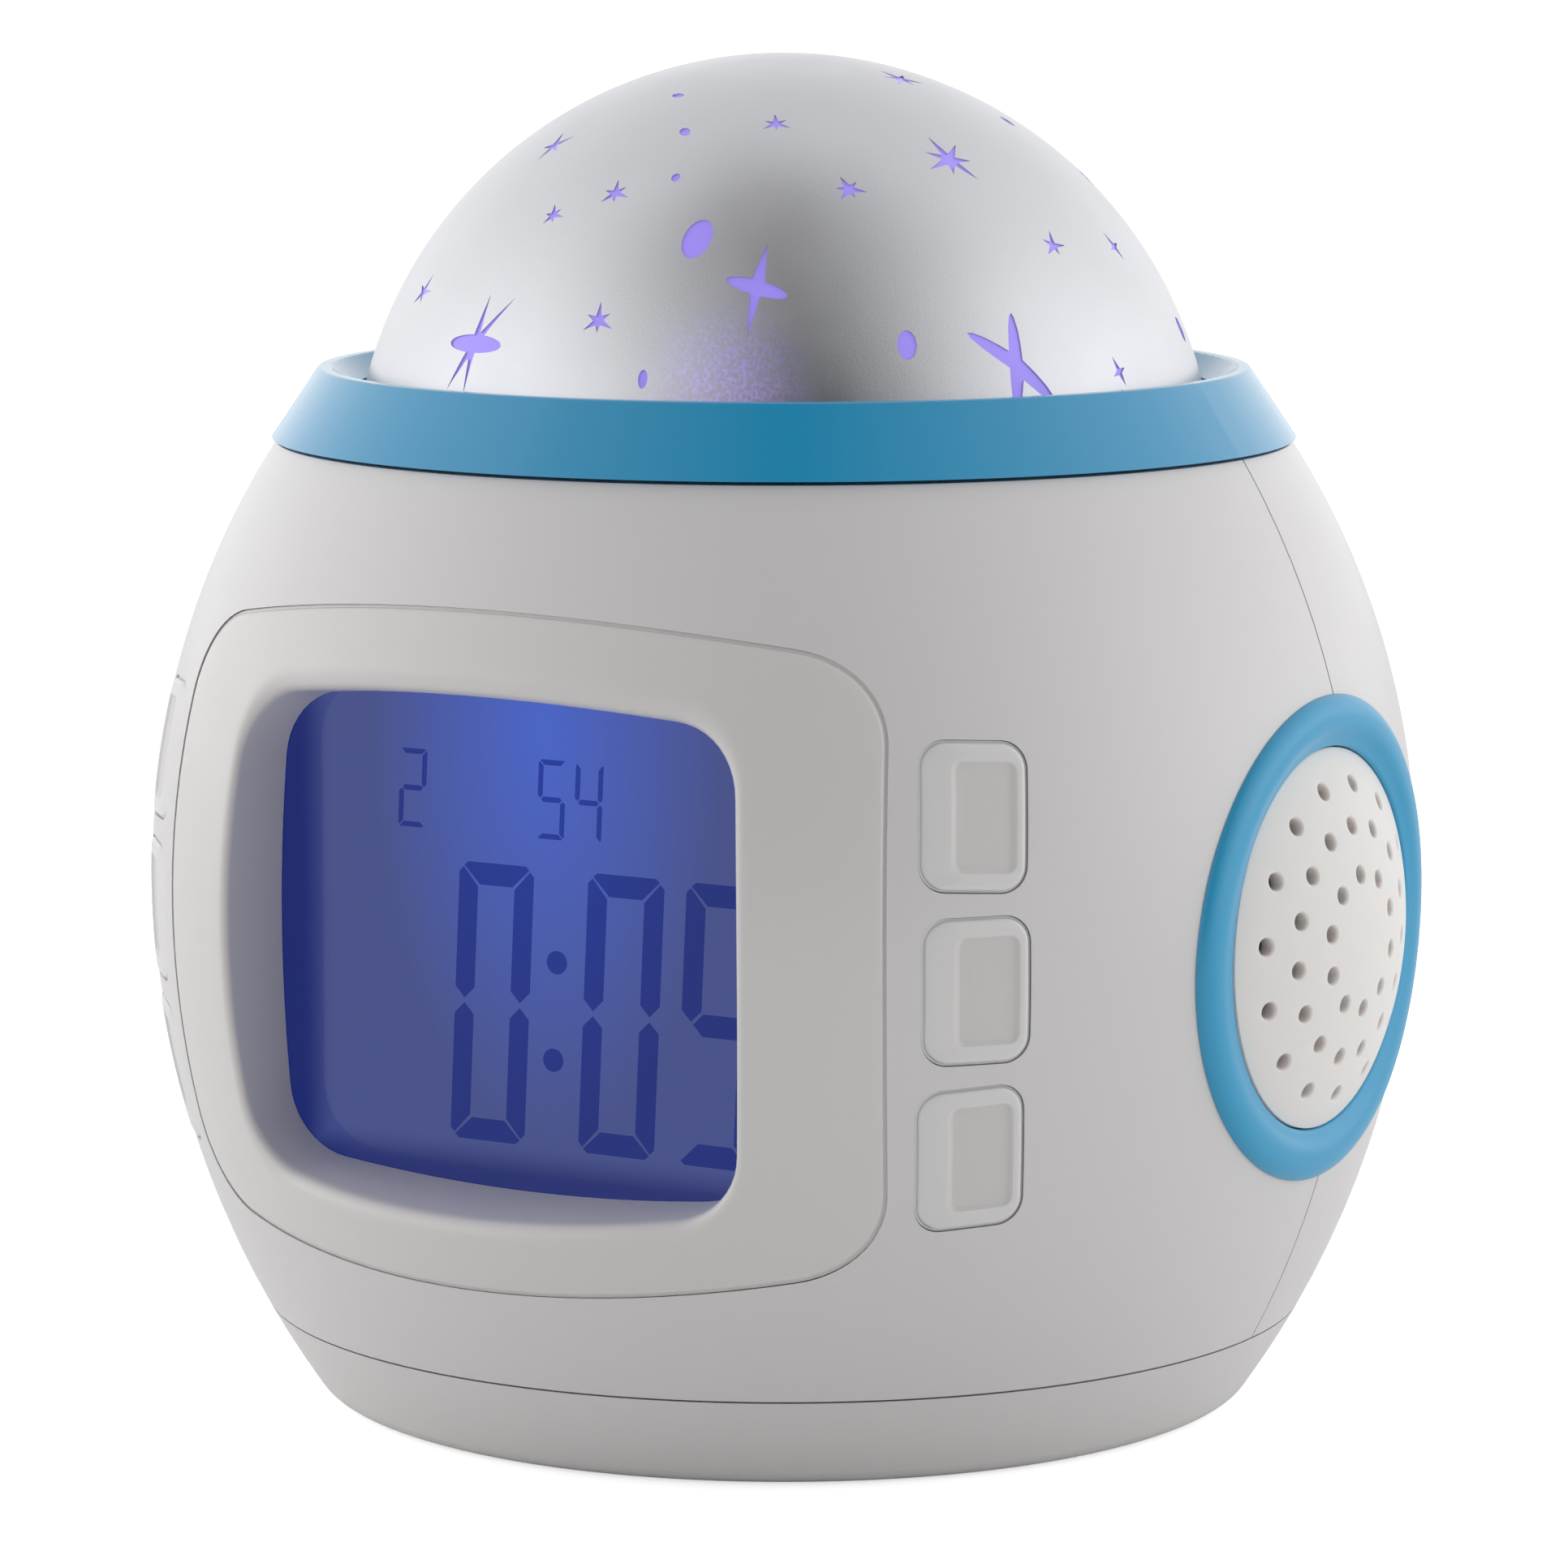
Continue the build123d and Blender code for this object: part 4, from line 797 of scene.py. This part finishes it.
class CLOCK_OT_dome(bpy.types.Operator):
    """Dress the collar ring and mould the silver dome with its violet star windows"""

    bl_idname = "clock.dome"
    bl_label = "Dome and collar"

    def execute(self, context):
        tone = colours()
        collar = finish("collar_gloss", tone.collar, 0.24, specular=0.5, coat=0.5, coat_roughness=0.1)
        dress(grain(collar, 0.8, 0.004, 0.2, 0.03), "top_ring")
        size = sizes()
        coat = temporary("coat", self.shell(size.dome_radius))
        clear = temporary("clear", self.shell(size.dome_radius - size.window_sink))
        stars = temporary("stars", self.star_cutters())
        silver = cut("dome_coat", coat, stars, "DIFFERENCE")
        windows = cut("star_lights", clear, stars, "INTERSECT")
        drop(coat, clear, stars)
        centre = Vector((0.0, AXIS_Y, size.dome_middle))
        dome = add_piece("silver_dome", silver, self.silver_coat(), replaces=["star_dome"])
        ball_normals(dome.data, centre, size.dome_radius)
        lights = add_piece("star_lights", windows, self.star_light(), replaces=["star_windows"])
        ball_normals(lights.data, centre, size.dome_radius - size.window_sink)
        return {"FINISHED"}

    def shell(self, radius):
        """Hollow dome, open at its foot."""
        size = sizes()
        inside = size.dome_radius - size.dome_wall
        low = size.dome_skirt - size.dome_middle
        steep, shallow = asin(low / radius), asin(low / inside)
        inner_steps, outer_steps = 24, 36
        profile = [(0.0, inside)]
        for k in range(1, inner_steps + 1):
            angle = pi / 2 + (shallow - pi / 2) * k / inner_steps
            profile.append((inside * cos(angle), inside * sin(angle)))
        for k in range(outer_steps):
            angle = steep + (pi / 2 - steep) * k / outer_steps
            profile.append((radius * cos(angle), radius * sin(angle)))
        profile.append((0.0, radius))
        bm = spun(profile, 128)
        bmesh.ops.translate(bm, verts=bm.verts, vec=(0.0, AXIS_Y, size.dome_middle))
        return bm

    def star_shapes(self):
        """Azimuth, elevation and arms of each window on one half of the dome."""
        shapes = list(LARGE_STARS)
        for azimuth, elevation, count, reach, width, tilt in SMALL_STARS:
            turns = [90 + tilt + 360 * k / count for k in range(count)]
            arms = [(angle, reach * part, reach * width, False) for angle, part in zip(turns, ARM_SHARES)]
            shapes.append((azimuth, elevation, arms))
        for azimuth, elevation, reach, width, tilt in DROPS:
            arms = [(90 + tilt + half, reach, reach * width, True) for half in (0, 180)]
            shapes.append((azimuth, elevation, arms))
        return shapes

    def star_cutters(self):
        """Star and drop prisms through the dome, the same on its front and back."""
        size = sizes()
        inwards, outwards = 4 * MM, 2 * MM
        low, high = size.dome_radius - inwards, size.dome_radius + outwards
        bm = bmesh.new()
        for half_turn in (0, 180):
            for azimuth, elevation, arms in self.star_shapes():
                add_prism(bm, star_outline(arms), dome_place(azimuth + half_turn, elevation), low, high)
        return bm

    def silver_coat(self):
        """Sprayed silver with a fine sparkle, and the lamp's violet speckle painted on it as glow, low on its front
        and back.
        """
        tone = colours()
        size = sizes()
        silver = grain(finish("dome_silver", tone.silver, 0.37, metallic=0.9), 0.16, 0.03, 0.35, 0.03)
        # Painted lamplight: a fine noise speckle that breaks up the violet glow on the silver.
        glow_speckle = spread(silver, noise(silver, 0.3 * MM, 4.0), 0.44, 0.72, 0.2, 1.0)
        azimuth, elevation = radians(23), radians(16)
        near = []
        for way in (1, -1):
            place = (
                way * size.dome_radius * sin(azimuth) * cos(elevation),
                AXIS_Y - way * size.dome_radius * cos(azimuth) * cos(elevation),
                size.dome_middle + size.dome_radius * sin(elevation),
            )
            away = distance_from(silver, place, (1.0, 1.0, 0.8))
            near.append(spread(silver, away, 0.5 * MM, 8.5 * MM, 1.0, 0.0, True))
        lit = maths(silver, "MAXIMUM", *near)
        shader = shader_of(silver)
        foot, head = size.dome_skirt + 2 * MM, size.dome_skirt + 7 * MM
        tint = ramp(silver, coordinate(silver, "Z"), foot, head, [(0.0, tone.halo_foot), (1.0, tone.halo)])
        link(silver, tint, shader.inputs["Emission Color"])
        strength = maths(silver, "MULTIPLY", maths(silver, "MULTIPLY", lit, glow_speckle), 0.85)
        link(silver, strength, shader.inputs["Emission Strength"])
        return silver

    def star_light(self):
        """Clear plastic with violet lamplight painted on it as glow, brighter towards the lamp at the dome's foot;
        the LEDs inside don't light it.
        """
        tone = colours()
        size = sizes()
        star = grain(finish("star_violet", tone.star, 0.2), 0.5, 0.02, 0.2)
        away = distance_from(star, (0.0, AXIS_Y, size.dome_skirt))
        bright = tuple(min(1.0, 1.25 * part) for part in tone.star)
        glow(star, ramp(star, away, 34 * MM, 39 * MM, [(0.0, bright), (1.0, tuple(tone.star))]), 0.4)
        return star


class CLOCK_OT_display(bpy.types.Operator):
    """Light the display glass and lay its dark digits on it"""

    bl_idname = "clock.display"
    bl_label = "Display"

    def execute(self, context):
        tone = colours()
        size = sizes()
        dress(self.lit_glass(), "lcd_glass")
        ink = finish("display_ink", (0.0, 0.0, 0.0), 0.05, specular=0.35)
        fall = distance_from(ink, self.lamp_place(), (1.0, 0.0, 0.5))
        # The dark segments glow too, with painted backlight that is brighter near the lamp.
        glow(ink, ramp(ink, fall, 3 * MM, 16 * MM, [(0.0, tone.ink_lamp), (1.0, tone.ink)]))
        bm = bmesh.new()
        flat = Matrix.Translation((0.0, GLASS_LOW.y, 0.0)) @ Matrix.Rotation(pi / 2, 4, "X")
        large = (size.digit_width, size.digit_height, size.digit_stroke, size.digit_low)
        small = (size.small_width, size.small_height, size.small_stroke, size.small_low)
        for sign, left, is_large in SIGNS:
            width, height, stroke, low = large if is_large else small
            gap = size.stroke_gap * sqrt(stroke / size.digit_stroke)
            for outline in digit_strokes(sign, width, height, stroke, gap):
                placed = [(left * MM + x + size.digit_slant * z, low + z) for x, z in outline]
                add_prism(bm, placed, flat, 0.0, size.ink_thickness)
        corners = 24
        ways = [2 * pi * k / corners for k in range(corners)]
        for rise in COLON_RISES:
            x, z = COLON_LEFT * MM + size.digit_slant * rise * MM, size.digit_low + rise * MM
            dot = [(x + size.colon_dot * cos(way), z + size.colon_dot * sin(way)) for way in ways]
            add_prism(bm, dot, flat, 0.0, size.ink_thickness)
        add_piece("display_digits", mesh_of("display_digits", bm), ink)
        return {"FINISHED"}

    def lamp_place(self):
        """Where the display's lamp shines brightest: at its top, near the middle."""
        return (2.0 * MM, GLASS_LOW.y, GLASS_HIGH.z - 4.0 * MM)

    def lit_glass(self):
        """Blue field painted as glow on the glossy glass in place of the backlight behind it, brightest under the
        lamp, with painted shade of the window's inner wall at its left and foot.
        """
        tone = colours()
        glass = finish("display_glass", (0.0, 0.0, 0.0), 0.05, specular=0.35)
        away = distance_from(glass, self.lamp_place(), (1.0, 0.0, 0.5))
        field = ramp(glass, away, 0.0, 16 * MM, [(0.0, tone.field_lamp), (1.0, tone.field)])
        # Painted shade of the window's inner wall: the field darkens towards its left and foot.
        lit_left, dark_left, lit_foot, dark_foot = -17.6 * MM, -21.0 * MM, 26.2 * MM, 23.4 * MM
        left = spread(glass, coordinate(glass, "X"), lit_left, dark_left, 0.0, 1.0, True)
        foot = spread(glass, coordinate(glass, "Z"), lit_foot, dark_foot, 0.0, 1.0, True)
        both = add_node(glass, "ShaderNodeMix", data_type="RGBA")
        link(glass, maths(glass, "MAXIMUM", left, foot), both.inputs["Factor"])
        link(glass, field, both.inputs["A"])
        both.inputs["B"].default_value = (*tone.field_wall_shade, 1.0)
        glow(glass, both.outputs["Result"])
        return glass


class CLOCK_OT_keys(bpy.types.Operator):
    """Mould the six milky keys, each with a sloped side and a sunk label panel"""

    bl_idname = "clock.keys"
    bl_label = "Keys"

    def execute(self, context):
        tone = colours()
        milky = grain(finish("key_milky", tone.key, 0.34, milk=0.3), 0.25, 0.01, 0.2)
        # Sunk label panels: a rougher finish, and a darker tone that partly stands for the shade in the recess.
        panel_finish_and_shade = grain(finish("key_panel", tone.panel, 0.5, milk=0.2), 0.25, 0.02, 0.3)
        for row, (right, left) in enumerate(zip(RIGHT_KEYS, LEFT_KEYS)):
            loops = self.key_loops((KEY_TOP - KEY_PITCH * row) * MM)
            for name, shape in ((right, loops), (left, mirrored(loops))):
                mesh = lofted("cap_" + name, shape, inlay=PANEL_BANDS)
                cap = add_piece("cap_" + name, mesh, milky, body=name, replaces=[name])
                cap.data.materials.append(panel_finish_and_shade)
        return {"FINISHED"}

    def key_loops(self, height):
        """Loops of a key on the right side: stem end, hidden flange, rounded rim, slope and label panel."""
        size = sizes()
        arc = size.upper_arc if height > size.belly_height else size.lower_arc
        lean = tan(asin((height - size.belly_height) / arc))
        twist = -atan(lean * tan(size.key_turn - size.key_upright))
        half, tall = size.key_width / 2, size.key_tall / 2

        def rounded(low_u, high_u, low_v, high_v, corner):
            """Rounded rectangle of nine points on each corner and five along each side."""
            points = []
            for u, v, start in ((high_u, high_v, 0), (low_u, high_v, 90), (low_u, low_v, 180), (high_u, low_v, 270)):
                centre_u = u - corner if start in (0, 270) else u + corner
                centre_v = v - corner if start in (0, 90) else v + corner
                for k in range(9):
                    angle = radians(start + 90 * k / 8)
                    points.append((centre_u + corner * cos(angle), centre_v + corner * sin(angle)))
            full = []
            for spot, ((u0, v0), (u1, v1)) in enumerate(zip(points, points[1:] + points[:1])):
                full.append((u0, v0))
                if spot % 9 == 8:
                    full += [(u0 + (u1 - u0) * k / 6, v0 + (v1 - v0) * k / 6) for k in range(1, 6)]
            return full

        slope_start, slope_run = -1.9 * MM, 1.7 * MM

        def slope(u):
            part = min(1.0, max(0.0, (slope_start - u) / slope_run))
            return -size.key_slope * ease(part)

        def placed(points, rise, follow=False):
            loop = []
            for u, v in points:
                lift = rise + (slope(u) if follow else 0.0)
                turned_u = u * cos(twist) - v * sin(twist)
                z = height + u * sin(twist) + v * cos(twist)
                out = sqrt(egg_radius(z, lift) ** 2 - turned_u ** 2)
                x = out * sin(size.key_turn) + turned_u * cos(size.key_turn)
                y = AXIS_Y - out * cos(size.key_turn) + turned_u * sin(size.key_turn)
                loop.append((x, y, z))
            return loop

        def rim(inset, rise, follow=True):
            corner = size.key_corner - inset
            return placed(rounded(-half + inset, half - inset, -tall + inset, tall - inset, corner), rise, follow)

        panel_left, panel_right, panel_top = -1.75 * MM, half - 0.62 * MM, tall - 1.2 * MM

        def panel(inset, rise):
            corner = max(0.25 * MM, 0.9 * MM - inset)
            edges = (panel_left + inset, panel_right - inset, -panel_top + inset, panel_top - inset)
            return placed(rounded(*edges, corner), rise)

        top, bend, sink = size.key_rise, size.key_round, size.key_panel
        count = len(rim(0.0, 0.0))
        flange, groove, depth = 0.18 * MM, -0.2 * MM, -2.0 * MM
        loops = [placed([(0.0, 0.0)] * count, depth), rim(-flange, depth, False)]
        loops += [rim(-flange, groove, False), rim(0.0, groove, False)]
        for angle in QUARTER:
            bow = radians(angle)
            loops.append(rim(bend * (1 - cos(bow)), top - bend * (1 - sin(bow))))
        loops += [rim(bend + 0.15 * MM, top), panel(-0.12 * MM, top - 0.01 * MM)]
        for part in (0.15, 0.35, 0.6, 0.85, 1.0):
            loops.append(panel(0.45 * MM * part, top - sink * ease(part)))
        loops += [panel(1.2 * MM, top - sink), panel(2.0 * MM, top - sink)]
        loops.append(placed([((panel_left + panel_right) / 2, 0.0)] * count, top - sink))
        return loops


class CLOCK_OT_inside(bpy.types.Operator):
    """Dress the pieces inside the housing and the fasteners"""

    bl_idname = "clock.inside"
    bl_label = "Inside"

    def execute(self, context):
        tone = colours()
        boards = ("main_pcb", "button_board_right", "button_board_left", "lamp_board")
        steel = ("clock_crystal", "pcb_screws", "button_board_screws", "lamp_screws", "case_screws",
                 "speaker_frame", "spring_contacts", "plate_contacts")
        for name, rgb, roughness, metallic, nodes in (
            ("inner_white", tone.inner, 0.5, 0.0, ("lcd_frame", "lamp_deck")),
            ("light_plate", (0.20, 0.25, 0.85), 0.3, 0.0, ("backlight",)),
            ("contact_rubber", (0.27, 0.27, 0.30), 0.7, 0.0, ("zebra_strip",)),
            ("board_green", tone.board, 0.35, 0.0, boards),
            ("potting_black", (0.012, 0.012, 0.012), 0.4, 0.0, ("controller_chip", "tact_switches")),
            ("nickel_plate", tone.steel, 0.3, 1.0, steel),
            ("cone_paper", tone.cone, 0.8, 0.0, ("speaker_cone",)),
            ("magnet_grey", (0.06, 0.06, 0.065), 0.4, 0.6, ("speaker_magnet",)),
            ("lamp_resin", (0.75, 0.75, 0.85), 0.12, 0.0, ("projector_leds",)),
            ("cell_sleeve", (0.12, 0.13, 0.16), 0.3, 0.4, ("aaa_cells",)),
        ):
            dress(grain(finish(name, rgb, roughness, metallic), 0.4, 0.02, 0.25), *nodes)
        return {"FINISHED"}


class CLOCK_OT_stage(bpy.types.Operator):
    """Lay the white floor, set the soft room light and place the camera"""

    bl_idname = "clock.stage"
    bl_label = "Stage"

    def execute(self, context):
        scene = context.scene
        scene.view_settings.view_transform = "Standard"
        bm = bmesh.new()
        bmesh.ops.create_grid(bm, x_segments=1, y_segments=1, size=3.0)
        floor = add_object("floor", mesh_of("floor", bm))
        floor.data.materials.append(self.floor_white())
        self.room_light(scene)
        self.fill_lamps()
        self.place_camera(scene)
        return {"FINISHED"}

    def floor_white(self):
        """White floor that shows white to the camera and keeps the clock's shadow."""
        material = finish("floor_white", (0.92, 0.92, 0.91), 0.7, specular=0.2)
        path = add_node(material, "ShaderNodeLightPath")
        shader = shader_of(material)
        shader.inputs["Emission Color"].default_value = (1.0, 1.0, 1.0, 1.0)
        shown = maths(material, "MULTIPLY", path.outputs["Is Camera Ray"], 0.6)
        link(material, shown, shader.inputs["Emission Strength"])
        return material

    def room_light(self, scene):
        """Bright room with a dim band that leans from the front right up past the top, white to the camera."""
        world = bpy.data.worlds.new("room")
        scene.world = world
        world.use_nodes = True
        background = world.node_tree.nodes["Background"]
        background.inputs["Color"].default_value = (1.0, 1.0, 1.0, 1.0)
        way = add_node(world, "ShaderNodeTexCoord").outputs["Generated"]

        def along(direction):
            return vector_maths(world, "DOT_PRODUCT", way, direction, "Value")

        beside, up = (-0.754, -0.651, -0.078), (0.0, 0.0, 1.0)
        front, camera_side = (0.643, -0.766, 0.0), (0.515, -0.857, 0.0)
        across = add_node(world, "ShaderNodeMath", operation="ABSOLUTE")
        link(world, along(beside), across.inputs[0])
        behind = spread(world, along(front), 0.08, -0.55, 0.0, 0.95)
        above = spread(world, along(up), 0.24, 1.0, 0.0, 0.39)
        clear = maths(world, "ADD", maths(world, "ADD", across.outputs[0], behind), above)
        walls = spread(world, clear, 0.26, 1.0, 0.0, 1.66)
        ceiling = spread(world, along(up), 0.2, 0.85, 1.0, 0.55)
        rear = spread(world, along(camera_side), -0.1, -0.9, 1.0, 0.72)
        level = maths(world, "MULTIPLY", maths(world, "MULTIPLY", walls, ceiling), rear)
        path = add_node(world, "ShaderNodeLightPath")
        link(world, maths(world, "MAXIMUM", level, path.outputs["Is Camera Ray"]), background.inputs["Strength"])

    def fill_lamps(self):
        """Soft lamps that lift the two sides and aren't mirrored in the dome."""
        middle = Vector((0.0, AXIS_Y, 45.0 * MM))
        for name, place, power in (
            ("fill_right", Vector((0.66, 0.24, 0.20)), 0.75),
            ("fill_left", Vector((-0.72, -0.12, 0.20)), 0.65),
        ):
            lamp = bpy.data.lights.new(name, "AREA")
            lamp.energy = power
            lamp.shape = "DISK"
            lamp.size = 0.5
            stand = self.aimed(name, lamp, place, middle)
            stand.visible_glossy = False

    def place_camera(self, scene):
        """The photograph's view: 31 degrees to the clock's right and 8 degrees down on it."""
        camera = bpy.data.cameras.new("camera")
        camera.lens = 147.0
        camera.sensor_width = 36.0
        camera.clip_start = 0.01
        place = Vector((269.5 * MM, AXIS_Y - 448.5 * MM, 125.0 * MM))
        scene.camera = self.aimed("camera", camera, place, Vector((0.0, AXIS_Y, 49.57 * MM)))

    def aimed(self, name, data, place, target):
        """Lamp or camera that stands at a place and looks at a target."""
        stand = add_object(name, data)
        stand.location = place
        stand.rotation_euler = (target - place).to_track_quat("-Z", "Y").to_euler()
        return stand


OPERATORS = (
    CLOCK_OT_housing, CLOCK_OT_speakers, CLOCK_OT_dome, CLOCK_OT_display, CLOCK_OT_keys, CLOCK_OT_inside,
    CLOCK_OT_stage,
)


class CLOCK_PT_sidebar(bpy.types.Panel):
    """Sizes, colours and steps of the clock"""

    bl_label = "Clock"
    bl_idname = "CLOCK_PT_sidebar"
    bl_space_type = "VIEW_3D"
    bl_region_type = "UI"
    bl_category = "Clock"

    def draw(self, context):
        for group in (context.scene.clock_sizes, context.scene.clock_colours):
            box = self.layout.box()
            for name in group.bl_rna.properties.keys():
                if name not in ("rna_type", "name"):
                    box.prop(group, name, text=name.replace("_", " ").capitalize())
        for operator in OPERATORS:
            self.layout.operator(operator.bl_idname)


CLASSES = (ClockSizes, ClockColours, *OPERATORS, CLOCK_PT_sidebar)


def register():
    for cls in CLASSES:
        bpy.utils.register_class(cls)
    bpy.types.Scene.clock_sizes = bpy.props.PointerProperty(type=ClockSizes)
    bpy.types.Scene.clock_colours = bpy.props.PointerProperty(type=ClockColours)


def unregister():
    del bpy.types.Scene.clock_colours
    del bpy.types.Scene.clock_sizes
    for cls in reversed(CLASSES):
        bpy.utils.unregister_class(cls)


def main():
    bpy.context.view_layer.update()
    register()
    bpy.ops.clock.housing()
    bpy.ops.clock.speakers()
    bpy.ops.clock.dome()
    bpy.ops.clock.display()
    bpy.ops.clock.keys()
    bpy.ops.clock.inside()
    bpy.ops.clock.stage()


if __name__ == "__main__":
    main()
